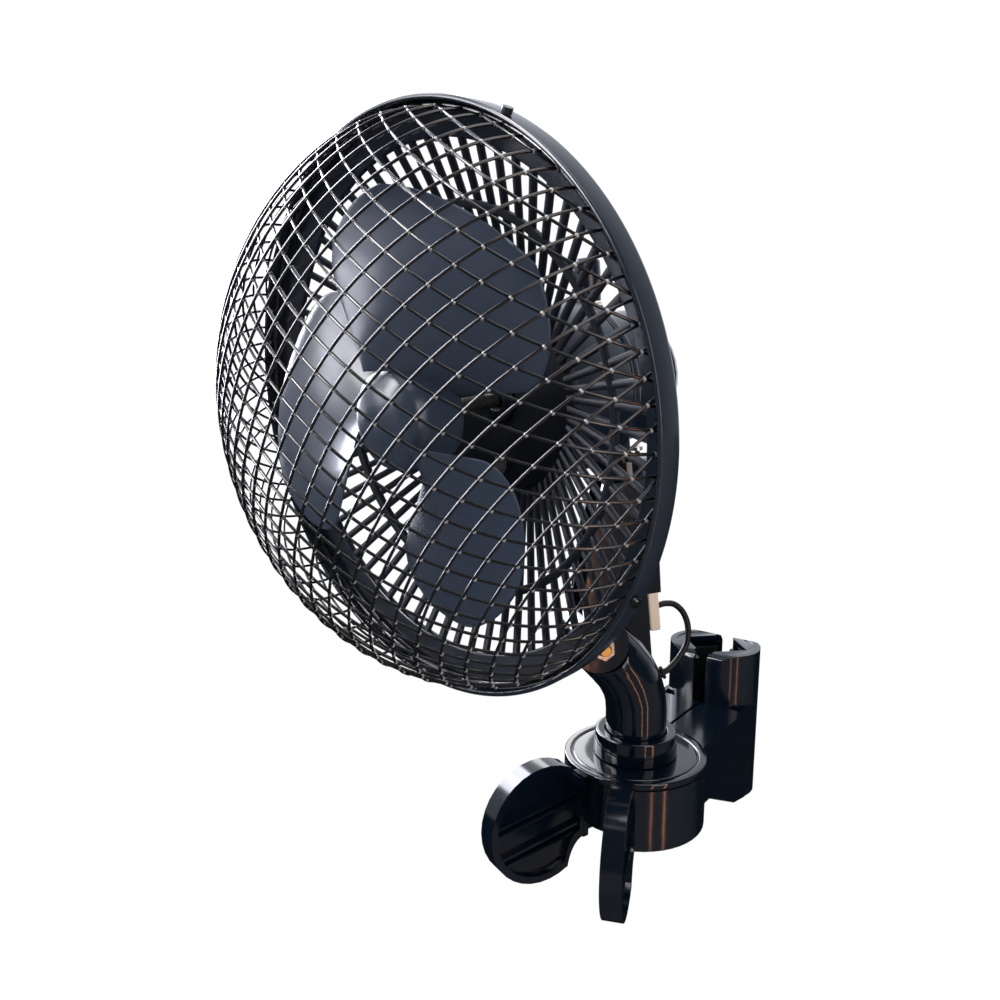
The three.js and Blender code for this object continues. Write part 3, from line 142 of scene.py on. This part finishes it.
def solid(name, grids, matrix, sharp=35):
    """One mesh from grids of points in millimetres. A grid's columns close on themselves, and its
    rows do too or end in flat caps. Doubles are merged and faces turned outwards."""
    vertices, faces = [], []
    first = 0
    for points, rows_close in grids:
        rows, columns = points.shape[:2]
        index = first + np.arange(rows * columns).reshape(rows, columns)
        right = np.roll(index, -1, axis=1)
        below, below_right = np.roll(index, -1, axis=0), np.roll(right, -1, axis=0)
        quads = np.stack([index, right, below_right, below], axis=-1)
        faces += quads[:rows if rows_close else rows - 1].reshape(-1, 4).tolist()
        if not rows_close:
            faces += [index[0, ::-1].tolist(), index[-1].tolist()]
        vertices.append(points.reshape(-1, 3))
        first += rows * columns
    mesh = bpy.data.meshes.new(name)
    mesh.from_pydata(moved(np.vstack(vertices), matrix).tolist(), [], faces)
    shell = bmesh.new()
    shell.from_mesh(mesh)
    bmesh.ops.remove_doubles(shell, verts=shell.verts, dist=SAME_SPOT)
    bmesh.ops.dissolve_degenerate(shell, edges=shell.edges, dist=SAME_SPOT / 2)
    bmesh.ops.recalc_face_normals(shell, faces=shell.faces)
    shell.to_mesh(mesh)
    shell.free()
    mesh.shade_smooth()
    mesh.set_sharp_from_angle(angle=math.radians(sharp))
    obj = bpy.data.objects.new(name, mesh)
    scene.collection.objects.link(obj)
    return obj


def finish_of(name, colour, roughness, metallic=0.0, specular=0.5, grain=400, grain_depth=0.0, patchy=0.0):
    """A finish of one colour. Its roughness wanders up and down by `patchy` in patches of about
    17 mm, and a fine grain of that many grains a metre and that depth in metres is its bump."""
    material = bpy.data.materials.new(name)
    material.use_nodes = True
    nodes, links = material.node_tree.nodes, material.node_tree.links
    shader = nodes["Principled BSDF"]
    shader.inputs["Base Color"].default_value = (*colour, 1)
    shader.inputs["Metallic"].default_value = metallic
    shader.inputs["Roughness"].default_value = roughness
    shader.inputs["Specular IOR Level"].default_value = specular
    spot = nodes.new("ShaderNodeTexCoord")
    if patchy:
        patches = nodes.new("ShaderNodeTexNoise")
        patches.inputs["Scale"].default_value = 60
        patches.inputs["Detail"].default_value = 6
        links.new(spot.outputs["Object"], patches.inputs["Vector"])
        span = nodes.new("ShaderNodeMapRange")
        span.inputs["To Min"].default_value = roughness - patchy
        span.inputs["To Max"].default_value = roughness + patchy
        links.new(patches.outputs["Fac"], span.inputs["Value"])
        links.new(span.outputs["Result"], shader.inputs["Roughness"])
    if grain_depth:
        grains = nodes.new("ShaderNodeTexNoise")
        grains.inputs["Scale"].default_value = grain
        grains.inputs["Detail"].default_value = 2
        links.new(spot.outputs["Object"], grains.inputs["Vector"])
        bump = nodes.new("ShaderNodeBump")
        bump.inputs["Strength"].default_value = 1
        bump.inputs["Distance"].default_value = grain_depth
        links.new(grains.outputs["Fac"], bump.inputs["Height"])
        links.new(bump.outputs["Normal"], shader.inputs["Normal"])
    return material


def wear(obj, material):
    """Gives a piece its only material."""
    obj.data.materials.clear()
    obj.data.materials.append(material)
    return obj


rubber = finish_of("lead_rubber", (0.003, 0.004, 0.006), 0.46, specular=0.3,
                   grain=900, grain_depth=0.00003, patchy=0.06)
lead_diameter, lead_sides, lead_stations = 2.8, 16, 60
lead_points = [
    (-10.5, 12.5, 65.4), (-10.4, 15.5, 66.1), (-9.6, 19.6, 65.7), (-8, 23.2, 62.4), (-6, 25, 56.8),
    (-4, 24.4, 50.3), (-2.5, 21.8, 45.3), (-1, 17.6, 40.8), (0, 14.2, 38.2),
]
lead_end = (0, 12.45, 37.27)
lead_path = smooth_path([*lead_points, lead_end], lead_stations)
lead_tube = sweep(lead_path, circle(lead_diameter / 2, lead_sides), up=(1, 0, 0))
lead = solid("lead_loop_cord", [(lead_tube, False)], NECK)
wear(lead, rubber)
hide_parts("lead_loop")
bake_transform(lead)

# ---------------------------------------------------------------------------
# Hub cap and collar. The cap is a round moulding in black gloss plastic with one
# fine groove, a skirt inside the levers' drum and a socket for the neck. The
# collar sits on it round the neck and steadies it as it swivels.
black_gloss = finish_of("black_gloss", (0.0015, 0.0045, 0.0095), 0.09,
                        grain=120, grain_depth=0.00004, patchy=0.04)


def rounded(profile, radius, steps=4):
    """A closed profile of (radius, height) points with its corners rounded: a quadratic curve runs
    from a point before each corner to one after it, with the corner as its control point."""
    profile = np.array(profile, float)
    ends = []
    for neighbour in (np.roll(profile, 1, axis=0), np.roll(profile, -1, axis=0)):
        side = neighbour - profile
        length = np.linalg.norm(side, axis=1)
        ends.append(profile + np.minimum(radius, 0.45 * length)[:, None] * side / length[:, None])
    start, end = (point[:, None] for point in ends)
    t = np.linspace(0, 1, steps)[None, :, None]
    curve = (1 - t) ** 2 * start + 2 * t * (1 - t) * profile[:, None] + t**2 * end
    return curve.reshape(-1, 2)


def turned(profile, count=96, forward=False):
    """A closed profile of (radius, height) turned about Z, or about the fan axis with heights
    running forward: point = (r cos a, r sin a, h) or (r cos a, -h, r sin a)."""
    profile = np.array(profile, float)
    angle = np.arange(count) * 2 * math.pi / count
    r, h = profile[:, 0][:, None], profile[:, 1][:, None] + 0 * angle
    x, y = r * np.cos(angle), r * np.sin(angle)
    return np.stack([x, -h, y] if forward else [x, y, h], axis=-1), True


hub_radius, cap_under, cap_round = 32, -3, 0.7
groove_radius, groove_width, groove_depth = 27.8, 0.9, 0.7
skirt_outer, skirt_inner, skirt_end = 28.6, 27.2, -26.8
socket_outer, neck_seat, socket_floor, socket_under, post_bore = 16, 14, -8.9, -10.9, 3
cap_profile = [
    (neck_seat, 0), (groove_radius, 0), (groove_radius + groove_width / 2, -groove_depth),
    (groove_radius + groove_width, 0), (hub_radius, 0), (hub_radius, cap_under), (skirt_outer, cap_under),
    (skirt_outer, skirt_end), (skirt_inner, skirt_end), (skirt_inner, cap_under),
    (socket_outer, cap_under), (socket_outer, socket_under), (post_bore, socket_under),
    (post_bore, socket_floor), (neck_seat, socket_floor),
]
cap = solid("hub_cap_moulding", [turned(rounded(cap_profile, cap_round))], HUB)
wear(cap, black_gloss)
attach(cap, "clip_core")
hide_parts("hub_cap")

collar_radius, collar_foot, collar_height = 18.8, 0.3, 11.1
collar_draft, collar_chamfer, collar_round = 0.6, 0.4, 0.5
collar_profile = [
    (neck_seat, collar_foot), (collar_radius, collar_foot),
    (collar_radius - collar_draft, collar_height - collar_chamfer),
    (collar_radius - collar_draft - collar_chamfer, collar_height), (neck_seat, collar_height),
]
collar = solid("neck_collar_ring", [turned(rounded(collar_profile, collar_round))], NECK)
wear(collar, black_gloss)
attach(collar, "neck")
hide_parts("neck_collar")

# ---------------------------------------------------------------------------
# Clip levers. Each is one black gloss moulding: dished paddle, half of the hub's
# drum, arm and half-round jaw. They turn on the pivot post under the cap. The
# solids are kept and their edges broken.
lever_black = finish_of("lever_black", (0.002, 0.0055, 0.012), 0.14,
                        grain=120, grain_depth=0.00004, patchy=0.04)


def softened(name, node, width, material, angle=28):
    """A copy of a solid with its doubles merged, flat faces joined, and every edge sharper than
    the angle in degrees cut by a round bevel of the width in millimetres."""
    source = frame["nodes"][node]
    mesh = source.data.copy()
    mesh.name = name
    shell = bmesh.new()
    shell.from_mesh(mesh)
    bmesh.ops.remove_doubles(shell, verts=shell.verts, dist=SAME_SPOT)
    bmesh.ops.dissolve_limit(shell, angle_limit=math.radians(1), verts=shell.verts, edges=shell.edges)
    shell.to_mesh(mesh)
    shell.free()
    mesh.shade_smooth()
    mesh.set_sharp_from_angle(angle=math.radians(angle))
    obj = bpy.data.objects.new(name, mesh)
    scene.collection.objects.link(obj)
    obj.matrix_world = source.matrix_world
    bevel = obj.modifiers.new("edges", "BEVEL")
    bevel.width = width * MM
    bevel.segments = 3
    bevel.limit_method = "ANGLE"
    bevel.angle_limit = math.radians(angle)
    return wear(obj, material)


for side in ("right", "left"):
    lever = softened(f"lever_{side}_moulding", f"clip_lever_{side}", 0.5, lever_black, angle=35)
    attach(lever, f"clip_{side}")
    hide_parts(f"clip_lever_{side}")

# ---------------------------------------------------------------------------
# Neck elbow. A bent black gloss tube, moulded in one with the knuckle of the
# tilt joint at its upper end. Its lower end turns in the cap's socket.
elbow = softened("neck_elbow_tube", "neck_elbow", 0.5, black_gloss, angle=35)
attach(elbow, "neck")
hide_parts("neck_elbow")

# ---------------------------------------------------------------------------
# Tilt bracket. A forked moulding in black gloss plastic, clamped to the knuckle
# by a yellow-passivated bolt and a zinc-plated hexagon nut. A pale nylon block
# on one cheek clamps the lead.
bracket = softened("tilt_bracket_moulding", "tilt_bracket", 0.8, black_gloss)
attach(bracket, "bracket")
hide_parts("tilt_bracket")

zinc = finish_of("zinc_plate", (0.56, 0.55, 0.52), 0.26, metallic=1,
                 grain=700, grain_depth=0.00002, patchy=0.08)
gold = finish_of("yellow_passivate", (0.66, 0.47, 0.16), 0.3, metallic=1,
                 grain=700, grain_depth=0.00002, patchy=0.08)
nylon = finish_of("natural_nylon", (0.72, 0.58, 0.46), 0.5,
                  grain=500, grain_depth=0.00003, patchy=0.05)
nut = softened("tilt_nut_hexagon", "tilt_nut", 0.5, zinc)
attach(nut, "bracket")
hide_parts("tilt_nut")
bolt = softened("tilt_bolt_shank", "tilt_bolt", 0.3, gold, angle=35)
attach(bolt, "bracket")
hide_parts("tilt_bolt")
clamp = softened("cord_block_clamp", "cord_block", 0.8, nylon)
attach(clamp, "bracket")
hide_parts("cord_block")

# ---------------------------------------------------------------------------
# Motor and gear case. Satin black mouldings behind the guard: a round housing in
# two halves, with a cup for a bearing in each, and a smaller case for the swing
# gears, with the pull knob on top.
satin_black = finish_of("satin_black", (0.004, 0.009, 0.018), 0.24,
                        grain=600, grain_depth=0.00003, patchy=0.05)
for name, node, width in [("gear_case_shell", "gear_case", 0.5), ("knob_turned", "swing_knob", 0.4)]:
    part = softened(name, node, width, satin_black, angle=35)
    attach(part, "knob" if node == "swing_knob" else "head")
    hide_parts(node)

motor_radius, motor_bore, motor_front, motor_split, motor_back, motor_round = 34, 31.5, 65, 30, 22, 1
motor_wall, split_gap, front_bevel = 2.5, 0.3, 3
nose_radius, nose_front, shaft_hole = 8.7, 70, 3.6
cup_radius, cup_bore, front_cup_back, front_cup_end, rear_cup_end = 8.5, 6.3, 58, 67.3, 33.5
rear_face_radius, rear_bevel_end, rear_inner_radius, rear_inner_end = 29, 26, 27, 27.2
housing_profile = [
    (shaft_hole, nose_front), (nose_radius, nose_front), (nose_radius, motor_front),
    (motor_radius - front_bevel, motor_front), (motor_radius, motor_front - front_bevel),
    (motor_radius, motor_split + split_gap), (motor_bore, motor_split + split_gap),
    (motor_bore, motor_front - motor_wall - 1.5), (motor_bore - 1.5, motor_front - motor_wall),
    (cup_radius, motor_front - motor_wall), (cup_radius, front_cup_back), (cup_bore, front_cup_back),
    (cup_bore, front_cup_end), (shaft_hole, front_cup_end),
]
cover_profile = [
    (shaft_hole, motor_back), (rear_face_radius, motor_back), (motor_radius, rear_bevel_end),
    (motor_radius, motor_split), (motor_bore, motor_split), (motor_bore, rear_inner_end),
    (rear_inner_radius, motor_back + motor_wall), (cup_radius, motor_back + motor_wall),
    (cup_radius, rear_cup_end), (cup_bore, rear_cup_end), (cup_bore, motor_back + motor_wall),
    (shaft_hole, motor_back + motor_wall),
]
for name, node, profile in [("motor_housing_front", "motor_front_housing", housing_profile),
                            ("motor_cover_rear", "motor_rear_cover", cover_profile)]:
    part = solid(name, [turned(rounded(profile, motor_round), forward=True)], HEAD)
    wear(part, satin_black)
    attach(part, "head")
    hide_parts(node)

# ---------------------------------------------------------------------------
# Fan blade. One moulding in smoky, slightly blue plastic: three wide blades that
# overlap the hub, which is a smooth cup with a domed nose, pushed on the shaft.
blade_smoke = finish_of("blade_smoke", (0.040, 0.055, 0.088), 0.25,
                        grain=60, grain_depth=0.00008, patchy=0.04)
blade_radius, blade_hub_radius, blade_thickness, blade_count = 74.5, 18, 1.8, 3
blade_first, blade_middle, blade_front = 57.5, 113, 124.8
blade_half_angle, blade_widening, blade_narrowing = 39.8, 31, 23.5
blade_pitch, blade_untwist, blade_camber = 24, 0.35, 2
tip_start, tip_curve, tip_least = 0.55, 0.26, 0.12


def blade_surface(centre_angle, across=40, out=40):
    """A closed shell round one blade. Rows u run out from the hub; columns v go over the front face
    and back over the rear, by a cosine. Half the blade's angle is a square in u, drawn in towards
    the tip by a root, and its height along the axis is a ramp over v whose rise falls with u, plus
    a half sine of camber, plus or minus half the thickness, which falls to nothing at the edges."""
    u = np.linspace(0, 1, out)[:, None]
    edge = np.linspace(0, math.pi, across)
    v = (1 - np.cos(edge)) / 2
    v = np.concatenate([v, v[::-1]])[None]
    side = np.concatenate([np.sqrt(np.sin(edge)), -np.sqrt(np.sin(edge))])[None]
    inner = blade_hub_radius - 1
    radius = inner + (blade_radius - inner) * u
    tip = np.sqrt(np.maximum(1 - np.maximum(u - tip_start, 0) ** 2 / tip_curve, tip_least))
    half_angle = (blade_half_angle + blade_widening * u - blade_narrowing * u**2) * tip
    angle = np.radians(centre_angle + half_angle * (2 * v - 1))
    ramp = blade_pitch * (1 - blade_untwist * u) * (v - 0.5)
    along = blade_middle + ramp + blade_camber * np.sin(math.pi * v) + side * blade_thickness / 2
    return np.stack([radius * np.cos(angle), -along, radius * np.sin(angle)], axis=-1), False


hub_back, hub_shoulder, hub_wall, hub_round = blade_front - 24, blade_front - 9, 2, 1.5
hub_profile = [
    (blade_hub_radius - hub_wall, hub_back), (blade_hub_radius, hub_back), (blade_hub_radius, hub_shoulder),
    (blade_hub_radius - 1.6, blade_front - 4.5), (11.5, blade_front - 1.2), (5, blade_front),
    (0.01, blade_front), (0.01, blade_front - 3), (12, blade_front - 4.5),
    (blade_hub_radius - hub_wall, hub_shoulder),
]
boss_bore, boss_radius, boss_back, boss_front, boss_round = 3.3, 6, 92, blade_front - 2.5, 0.3
boss_profile = [
    (boss_bore, boss_back), (boss_radius, boss_back), (boss_radius, boss_front), (boss_bore, boss_front),
]
blade_shells = [blade_surface(blade_first + 360 / blade_count * i) for i in range(blade_count)]
blade_hub = turned(rounded(hub_profile, hub_round), forward=True)
boss = turned(rounded(boss_profile, boss_round), 32, forward=True)
blade = solid("fan_blade_moulding", [*blade_shells, blade_hub, boss], HEAD, sharp=50)
wear(blade, blade_smoke)
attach(blade, "spinner")
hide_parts("fan_blade")

# ---------------------------------------------------------------------------
# Rear guard. A deep black moulded ring with a flat band inside it, thin radial
# slats that run back to a plate on the motor, and one ring that ties them. It is
# one moulding, screwed to the motor's face, glossy outside and duller within,
# where its black is painted darker as painted shade.
guard_black = finish_of("guard_black", (0.015, 0.020, 0.031), 0.16,
                        grain=90, grain_depth=0.00005, patchy=0.05)
# The slats inside the band get a darker copy of the guard's black: painted shade.
slat_painted_shade = finish_of("slat_painted_shade", (0.010, 0.014, 0.022), 0.42, specular=0.15,
                       grain=90, grain_depth=0.00005, patchy=0.05)
ring_radius, rim_front, rim_width, rim_wall, rim_round = 101, 105.7, 9, 1.6, 0.6
band_radius, band_thickness = 89, 2.5
slat_count, slat_width, slat_thickness, slat_round = 68, 2.6, 2.0, 0.7
slat_root, slat_rise = 69, 25
rib_radius, rib_half_width, rib_lean, rib_thickness, rib_round = 69, 1.5, 0.7, 2.2, 0.5
plate_radius, plate_bore, plate_back, plate_thickness = 38, 9, 65.3, 3


def cone_at(radius):
    """Distance along the fan axis of the slats' back: it rises evenly with the distance from that
    axis, from the plate's edge to the band."""
    return slat_root + slat_rise * (radius - plate_radius) / (band_radius - plate_radius)


rim_back = rim_front - rim_width
band_back, rib_back = cone_at(band_radius), cone_at(rib_radius)
rim_profile = [
    (band_radius, band_back), (ring_radius - 0.6, rim_back), (ring_radius, rim_back + 1),
    (ring_radius, rim_front), (ring_radius - rim_wall, rim_front),
    (ring_radius - rim_wall, rim_back + band_thickness), (band_radius, band_back + band_thickness),
]
rib_profile = [
    (rib_radius - rib_half_width, rib_back), (rib_radius + rib_half_width, rib_back + rib_lean),
    (rib_radius + rib_half_width, rib_back + rib_lean + rib_thickness),
    (rib_radius - rib_half_width, rib_back + rib_thickness),
]
plate_profile = [
    (plate_bore, plate_back), (plate_radius, plate_back),
    (plate_radius, plate_back + plate_thickness), (plate_bore, plate_back + plate_thickness),
]


def slat(angle):
    """One slat: a round-edged bar from the plate to the band, turned about the fan axis:
    x = x cos a - z sin a, z = x sin a + z cos a."""
    radius = np.linspace(plate_radius - 2, band_radius + 1, 6)
    path = np.stack([0 * radius, -cone_at(radius) - slat_thickness / 2, radius], axis=1)
    half = np.array([slat_width / 2, slat_thickness / 2])
    outline = rounded(half * [(-1, -1), (1, -1), (1, 1), (-1, 1)], slat_round, 3)
    x, y, z = np.moveaxis(sweep(path, outline, up=(0, -1, 0)), -1, 0)
    turn = math.radians(angle)
    across, upward = x * math.cos(turn) - z * math.sin(turn), x * math.sin(turn) + z * math.cos(turn)
    return np.stack([across, y, upward], axis=-1), False


rim = turned(rounded(rim_profile, rim_round), 256, forward=True)
rib = turned(rounded(rib_profile, rib_round), 192, forward=True)
plate = turned(rounded(plate_profile, rim_round), 128, forward=True)
slats = [slat(360 * i / slat_count) for i in range(slat_count)]
guard = solid("rear_guard_moulding", [rim, rib, plate, *slats], HEAD)
wear(guard, guard_black)
guard.data.materials.append(slat_painted_shade)
centres = np.zeros(len(guard.data.polygons) * 3)
guard.data.polygons.foreach_get("center", centres)
centres = moved(centres.reshape(-1, 3), np.linalg.inv(HEAD))
# Faces within the band take the darker black, the painted shade.
within_band = np.hypot(centres[:, 0], centres[:, 2]) < band_radius - 0.2
guard.data.polygons.foreach_set("material_index", within_band.astype(np.int32))
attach(guard, "head")
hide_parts("rear_guard")

# ---------------------------------------------------------------------------
# Front mesh. Wire painted black, spot-welded where it crosses and pressed into a
# dome, on a round wire hoop that sits inside the rim. The weld beads are coloured
# pale metal as a painted highlight, so each shows as a bright point.
wire_black = finish_of("painted_wire", (0.005, 0.006, 0.008), 0.16, specular=0.65,
                       grain=300, grain_depth=0.00003, patchy=0.05)
# Pale grey metal on the weld beads: a painted highlight at each crossing.
weld_painted_highlight = finish_of("weld_painted_highlight", (0.42, 0.43, 0.46), 0.3, metallic=0.6)
mesh_radius, mesh_height, mesh_power, mesh_round, mesh_seat = 97.9, 61.4, 2.1, 0.6, 4.5
wire_diameter, wire_sides, wire_lift, wire_station = 1.0, 8, 0.35, 2.2
hoop_wire, hoop_sides, hoop_lift, weld_radius = 2.4, 12, 0.6, 0.8
wire_numbers, steps_per_wire, shortest_wire = np.arange(-18, 35), 50, 3

# The lattice. Each crossing has a number in either direction, counted in tens from the middle. Its
# place, across and up in millimetres, is an odd cubic of the two: where ten wires of each direction
# lead, and how the pressing pulls them (a cubed, a squared times b, a times b squared, b cubed).
lattice_middle = np.array([8, 2.5])
ten_wires = [(-50.33, -56.44), (63.79, -49.92)]
pull = [(-4.04, 1.61), (10.71, -3.28), (-5.75, -5.66), (2.23, 5.31)]
lattice = np.array(ten_wires + pull)


def dome_height(radius):
    """Height of the dome over its hoop: H (1 - (r / R)^p)^q."""
    return mesh_height * (1 - (radius / mesh_radius) ** mesh_power) ** mesh_round


# A place's distance from the middle, four fifths of it measured over the dome and one fifth flat.
surface_share = 0.8
dome_radius = np.linspace(0, mesh_radius, 2001)
dome_steps = np.hypot(np.diff(dome_radius), np.diff(dome_height(dome_radius)))
over_dome = np.concatenate([[0], np.cumsum(dome_steps)])
dome_way = (1 - surface_share) * dome_radius + surface_share * over_dome


def on_dome(numbers, lift=0.0):
    """Points of the dome at pairs of wire numbers, lifted outwards along the fan axis, and which of
    them lie inside the hoop. The cubic's distance from the middle becomes a radius of the dome."""
    a, b = ((numbers - lattice_middle) / 10).T
    spots = np.stack([a, b, a**3, a**2 * b, a * b**2, b**3], axis=1) @ lattice
    way = np.hypot(spots[:, 0], spots[:, 1])
    limit = mesh_radius - 0.04
    inside = way < np.interp(limit, dome_radius, dome_way)
    radius = np.minimum(np.interp(way, dome_way, dome_radius), limit)
    spots *= (radius / np.maximum(way, 1e-9))[:, None]
    along = rim_front - mesh_seat + dome_height(radius) + lift
    return np.stack([spots[:, 0], -along, spots[:, 1]], axis=1), inside


def wires(direction, lift):
    """Every wire of one direction, from hoop to hoop: one wire number stays and the other runs
    on, and a round wire is swept along the points, spaced evenly over its length."""
    grids = []
    running = np.linspace(wire_numbers[0], wire_numbers[-1], steps_per_wire * (len(wire_numbers) - 1) + 1)
    for number in wire_numbers:
        fixed = np.full_like(running, number)
        numbers = np.stack([running, fixed] if direction == 0 else [fixed, running], axis=1)
        path, inside = on_dome(numbers, lift)
        path = path[inside]
        if len(path) < shortest_wire * steps_per_wire:
            continue
        way = np.concatenate([[0], np.cumsum(np.linalg.norm(np.diff(path, axis=0), axis=1))])
        even = np.linspace(0, way[-1], max(12, int(way[-1] / wire_station)))
        path = np.stack([np.interp(even, way, path[:, axis]) for axis in range(3)], axis=1)
        grids.append((sweep(path, circle(wire_diameter / 2, wire_sides), up=(0, -1, 0)), False))
    return grids


def welds():
    """A small bead where two wires cross: a ball of four rings of seven points, with flat ends."""
    numbers = np.stack(np.meshgrid(wire_numbers, wire_numbers), axis=-1).reshape(-1, 2).astype(float)
    spots, inside = on_dome(numbers)
    rise = np.radians([-62, -22, 22, 62])[:, None]
    turn = np.arange(7) * 2 * math.pi / 7
    ball = [np.cos(rise) * np.cos(turn), np.sin(rise) + 0 * turn, np.cos(rise) * np.sin(turn)]
    bead = weld_radius * np.stack(ball, axis=-1)
    return [(bead + spot, False) for spot in spots[inside]]


hoop_along = rim_front - mesh_seat + hoop_lift
hoop_profile = circle(hoop_wire / 2, hoop_sides) + [mesh_radius, hoop_along]
hoop = turned(hoop_profile, 256, forward=True)
wire_grids = wires(0, wire_lift) + wires(1, -wire_lift)
mesh = wear(solid("front_wire_mesh", [*wire_grids, hoop], HEAD, sharp=70), wire_black)
# The beads wear the painted highlight.
beads = wear(solid("front_mesh_welds", welds(), HEAD, sharp=70), weld_painted_highlight)
for part in (mesh, beads):
    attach(part, "head")
    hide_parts("front_grille")

# ---------------------------------------------------------------------------
# What stays as it is in the solids: small fastenings, the catches that hold the
# mesh in the rim, and the works inside, each in its own metal, rubber or nylon.
copper = finish_of("winding_copper", (0.45, 0.16, 0.07), 0.35, metallic=0.8,
                   grain=900, grain_depth=0.00005)
steel_dark = finish_of("lamination_steel", (0.25, 0.25, 0.26), 0.4, metallic=1,
                       grain=900, grain_depth=0.00003)
by_slot = {
    "gloss_black": black_gloss, "satin_black": satin_black, "painted_wire": wire_black,
    "blade": blade_smoke, "steel": zinc, "laminations": steel_dark, "brass": gold,
    "copper": copper, "rubber": rubber, "nylon": nylon,
}
for subpart in frame["record"]["subparts"]:
    wear(frame["nodes"][subpart["node"]], by_slot[subpart["material_slot"]])
for i in range(1, 5):
    wear(frame["nodes"][f"guard_catch_{i}"], wire_black)

# ---------------------------------------------------------------------------
# Floor and surround. A white floor well below the clip and an even white room.
# In the gloss alone, the room is brighter behind the fan, and the floor to its
# right.
white = (1, 1, 1, 1)
floor_half, floor_height = 4, -0.35
corners = [(x * floor_half, y * floor_half, floor_height) for x, y in [(-1, -1), (1, -1), (1, 1), (-1, 1)]]
floor_mesh = bpy.data.meshes.new("floor")
floor_mesh.from_pydata(corners, [], [(0, 1, 2, 3)])
floor = bpy.data.objects.new("floor", floor_mesh)
scene.collection.objects.link(floor)
floor_white = finish_of("floor_white", (0.9, 0.9, 0.9), 0.9)
wear(floor, floor_white)


def seen_by(tree, ray, others, shown):
    """Mixes two shaders: one kind of ray meets the last, and all others meet the first."""
    mix = tree.nodes.new("ShaderNodeMixShader")
    path = tree.nodes.new("ShaderNodeLightPath")
    tree.links.new(path.outputs[ray], mix.inputs["Fac"])
    tree.links.new(others.outputs[0], mix.inputs[1])
    tree.links.new(shown.outputs[0], mix.inputs[2])
    return mix


def backdrop(tree, surface, out, mirrored):
    """Shows plain white to the camera, the mirrored shader to reflections, and the given surface to
    the rest."""
    plain = tree.nodes.new(mirrored.bl_idname)
    plain.inputs["Color"].default_value = white
    plain.inputs["Strength"].default_value = 1
    reflected = seen_by(tree, "Is Glossy Ray", surface, mirrored)
    seen = seen_by(tree, "Is Camera Ray", reflected, plain)
    tree.links.new(seen.outputs[0], out.inputs["Surface"])


def fading(tree, kind, colour, coordinates, toward, between, levels, blend="LINEAR"):
    """A glowing shader whose strength goes from the first level to the second as the coordinates,
    multiplied into a direction, go from one value to another."""
    shader = tree.nodes.new(kind)
    shader.inputs["Color"].default_value = colour
    spot = tree.nodes.new("ShaderNodeTexCoord")
    along = tree.nodes.new("ShaderNodeVectorMath")
    along.operation = "DOT_PRODUCT"
    along.inputs[1].default_value = toward
    tree.links.new(spot.outputs[coordinates], along.inputs[0])
    strength = tree.nodes.new("ShaderNodeMapRange")
    strength.interpolation_type = blend
    for name, value in zip(("From Min", "From Max", "To Min", "To Max"), (*between, *levels)):
        strength.inputs[name].default_value = value
    tree.links.new(along.outputs["Value"], strength.inputs["Value"])
    tree.links.new(strength.outputs["Result"], shader.inputs["Strength"])
    return shader


world = bpy.data.worlds.new("surround")
scene.world = world
world.use_nodes = True
tree = world.node_tree
surround = tree.nodes["Background"]
surround.inputs["Color"].default_value = white
surround.inputs["Strength"].default_value = 0.45
behind_fan = (-0.5965, 0.8026, 0)
room = fading(tree, "ShaderNodeBackground", (0.86, 0.9, 1, 1), "Generated", behind_fan,
              (-0.25, 0.9), (0.08, 1.25), "SMOOTHSTEP")
backdrop(tree, surround, tree.nodes["World Output"], room)

tree = floor_white.node_tree
right_of_fan = (0.75, -0.66, 0)
floor_glow = fading(tree, "ShaderNodeEmission", (1, 0.95, 0.92, 1), "Object", right_of_fan,
                    (-0.1, 0.6), (0.01, 0.25))
backdrop(tree, tree.nodes["Principled BSDF"], tree.nodes["Material Output"], floor_glow)

# ---------------------------------------------------------------------------
# Lamps. Soft boxes at the left, the right and above light the fan, and others
# only show mirrored in its gloss: along the rim, on the dome and as two thin
# warm lines down the neck and the drum.


def softbox(name, spot, aim, size, power, glint=False, colour=(1, 1, 1)):
    """A rectangular area lamp at a spot, turned to aim at a point. A glint lamp only shows mirrored."""
    data = bpy.data.lights.new(name, "AREA")
    data.shape = "RECTANGLE"
    data.size, data.size_y = size
    data.energy = power
    data.color = colour
    lamp = bpy.data.objects.new(name, data)
    scene.collection.objects.link(lamp)
    lamp.visible_diffuse = not glint
    lamp.visible_camera = False
    facing = (Vector(spot) - Vector(aim)).to_track_quat("Z", "Y")
    lamp.matrix_world = Matrix.Translation(spot) @ facing.to_matrix().to_4x4()


whole_fan, fan_head, brow, ring_top = (0, -0.12, 0.1), (0, -0.2, 0.18), (0, -0.2, 0.2), (0, -0.2, 0.27)
drum, neck_foot = (0, -0.09, 0.01), (0, -0.09, 0.1)
violet, cool, warm = (0.88, 0.88, 1), (0.9, 0.88, 1), (1, 0.42, 0.22)
softbox("left_box", (-0.9, -0.9, 0.7), whole_fan, (0.7, 0.9), 7)
softbox("glint_box", (-0.6, -1.1, 0.9), fan_head, (0.35, 0.9), 22, glint=True)
softbox("edge_box", (-1.1, 0.1, 0.5), fan_head, (0.8, 1.0), 44, glint=True, colour=violet)
softbox("brow_box", (-0.9, -0.2, 1.05), brow, (0.5, 0.5), 8, glint=True, colour=cool)
softbox("ring_box", (-0.84, -1.02, 0.37), ring_top, (0.5, 0.25), 6, glint=True, colour=cool)
softbox("back_box", (-0.95, 0.72, 0.57), drum, (0.8, 0.35), 4, glint=True)
softbox("warm_strip", (0.4, -0.36, 0.1), neck_foot, (0.014, 0.8), 0.3, glint=True, colour=warm)
softbox("warm_strip_right", (0.47, -0.2, 0.1), neck_foot, (0.014, 0.8), 0.38, glint=True, colour=warm)
softbox("right_box", (1.0, -0.5, 0.4), whole_fan, (0.4, 0.9), 4)
softbox("top_box", (0.1, -0.2, 1.3), whole_fan, (0.9, 0.9), 8)
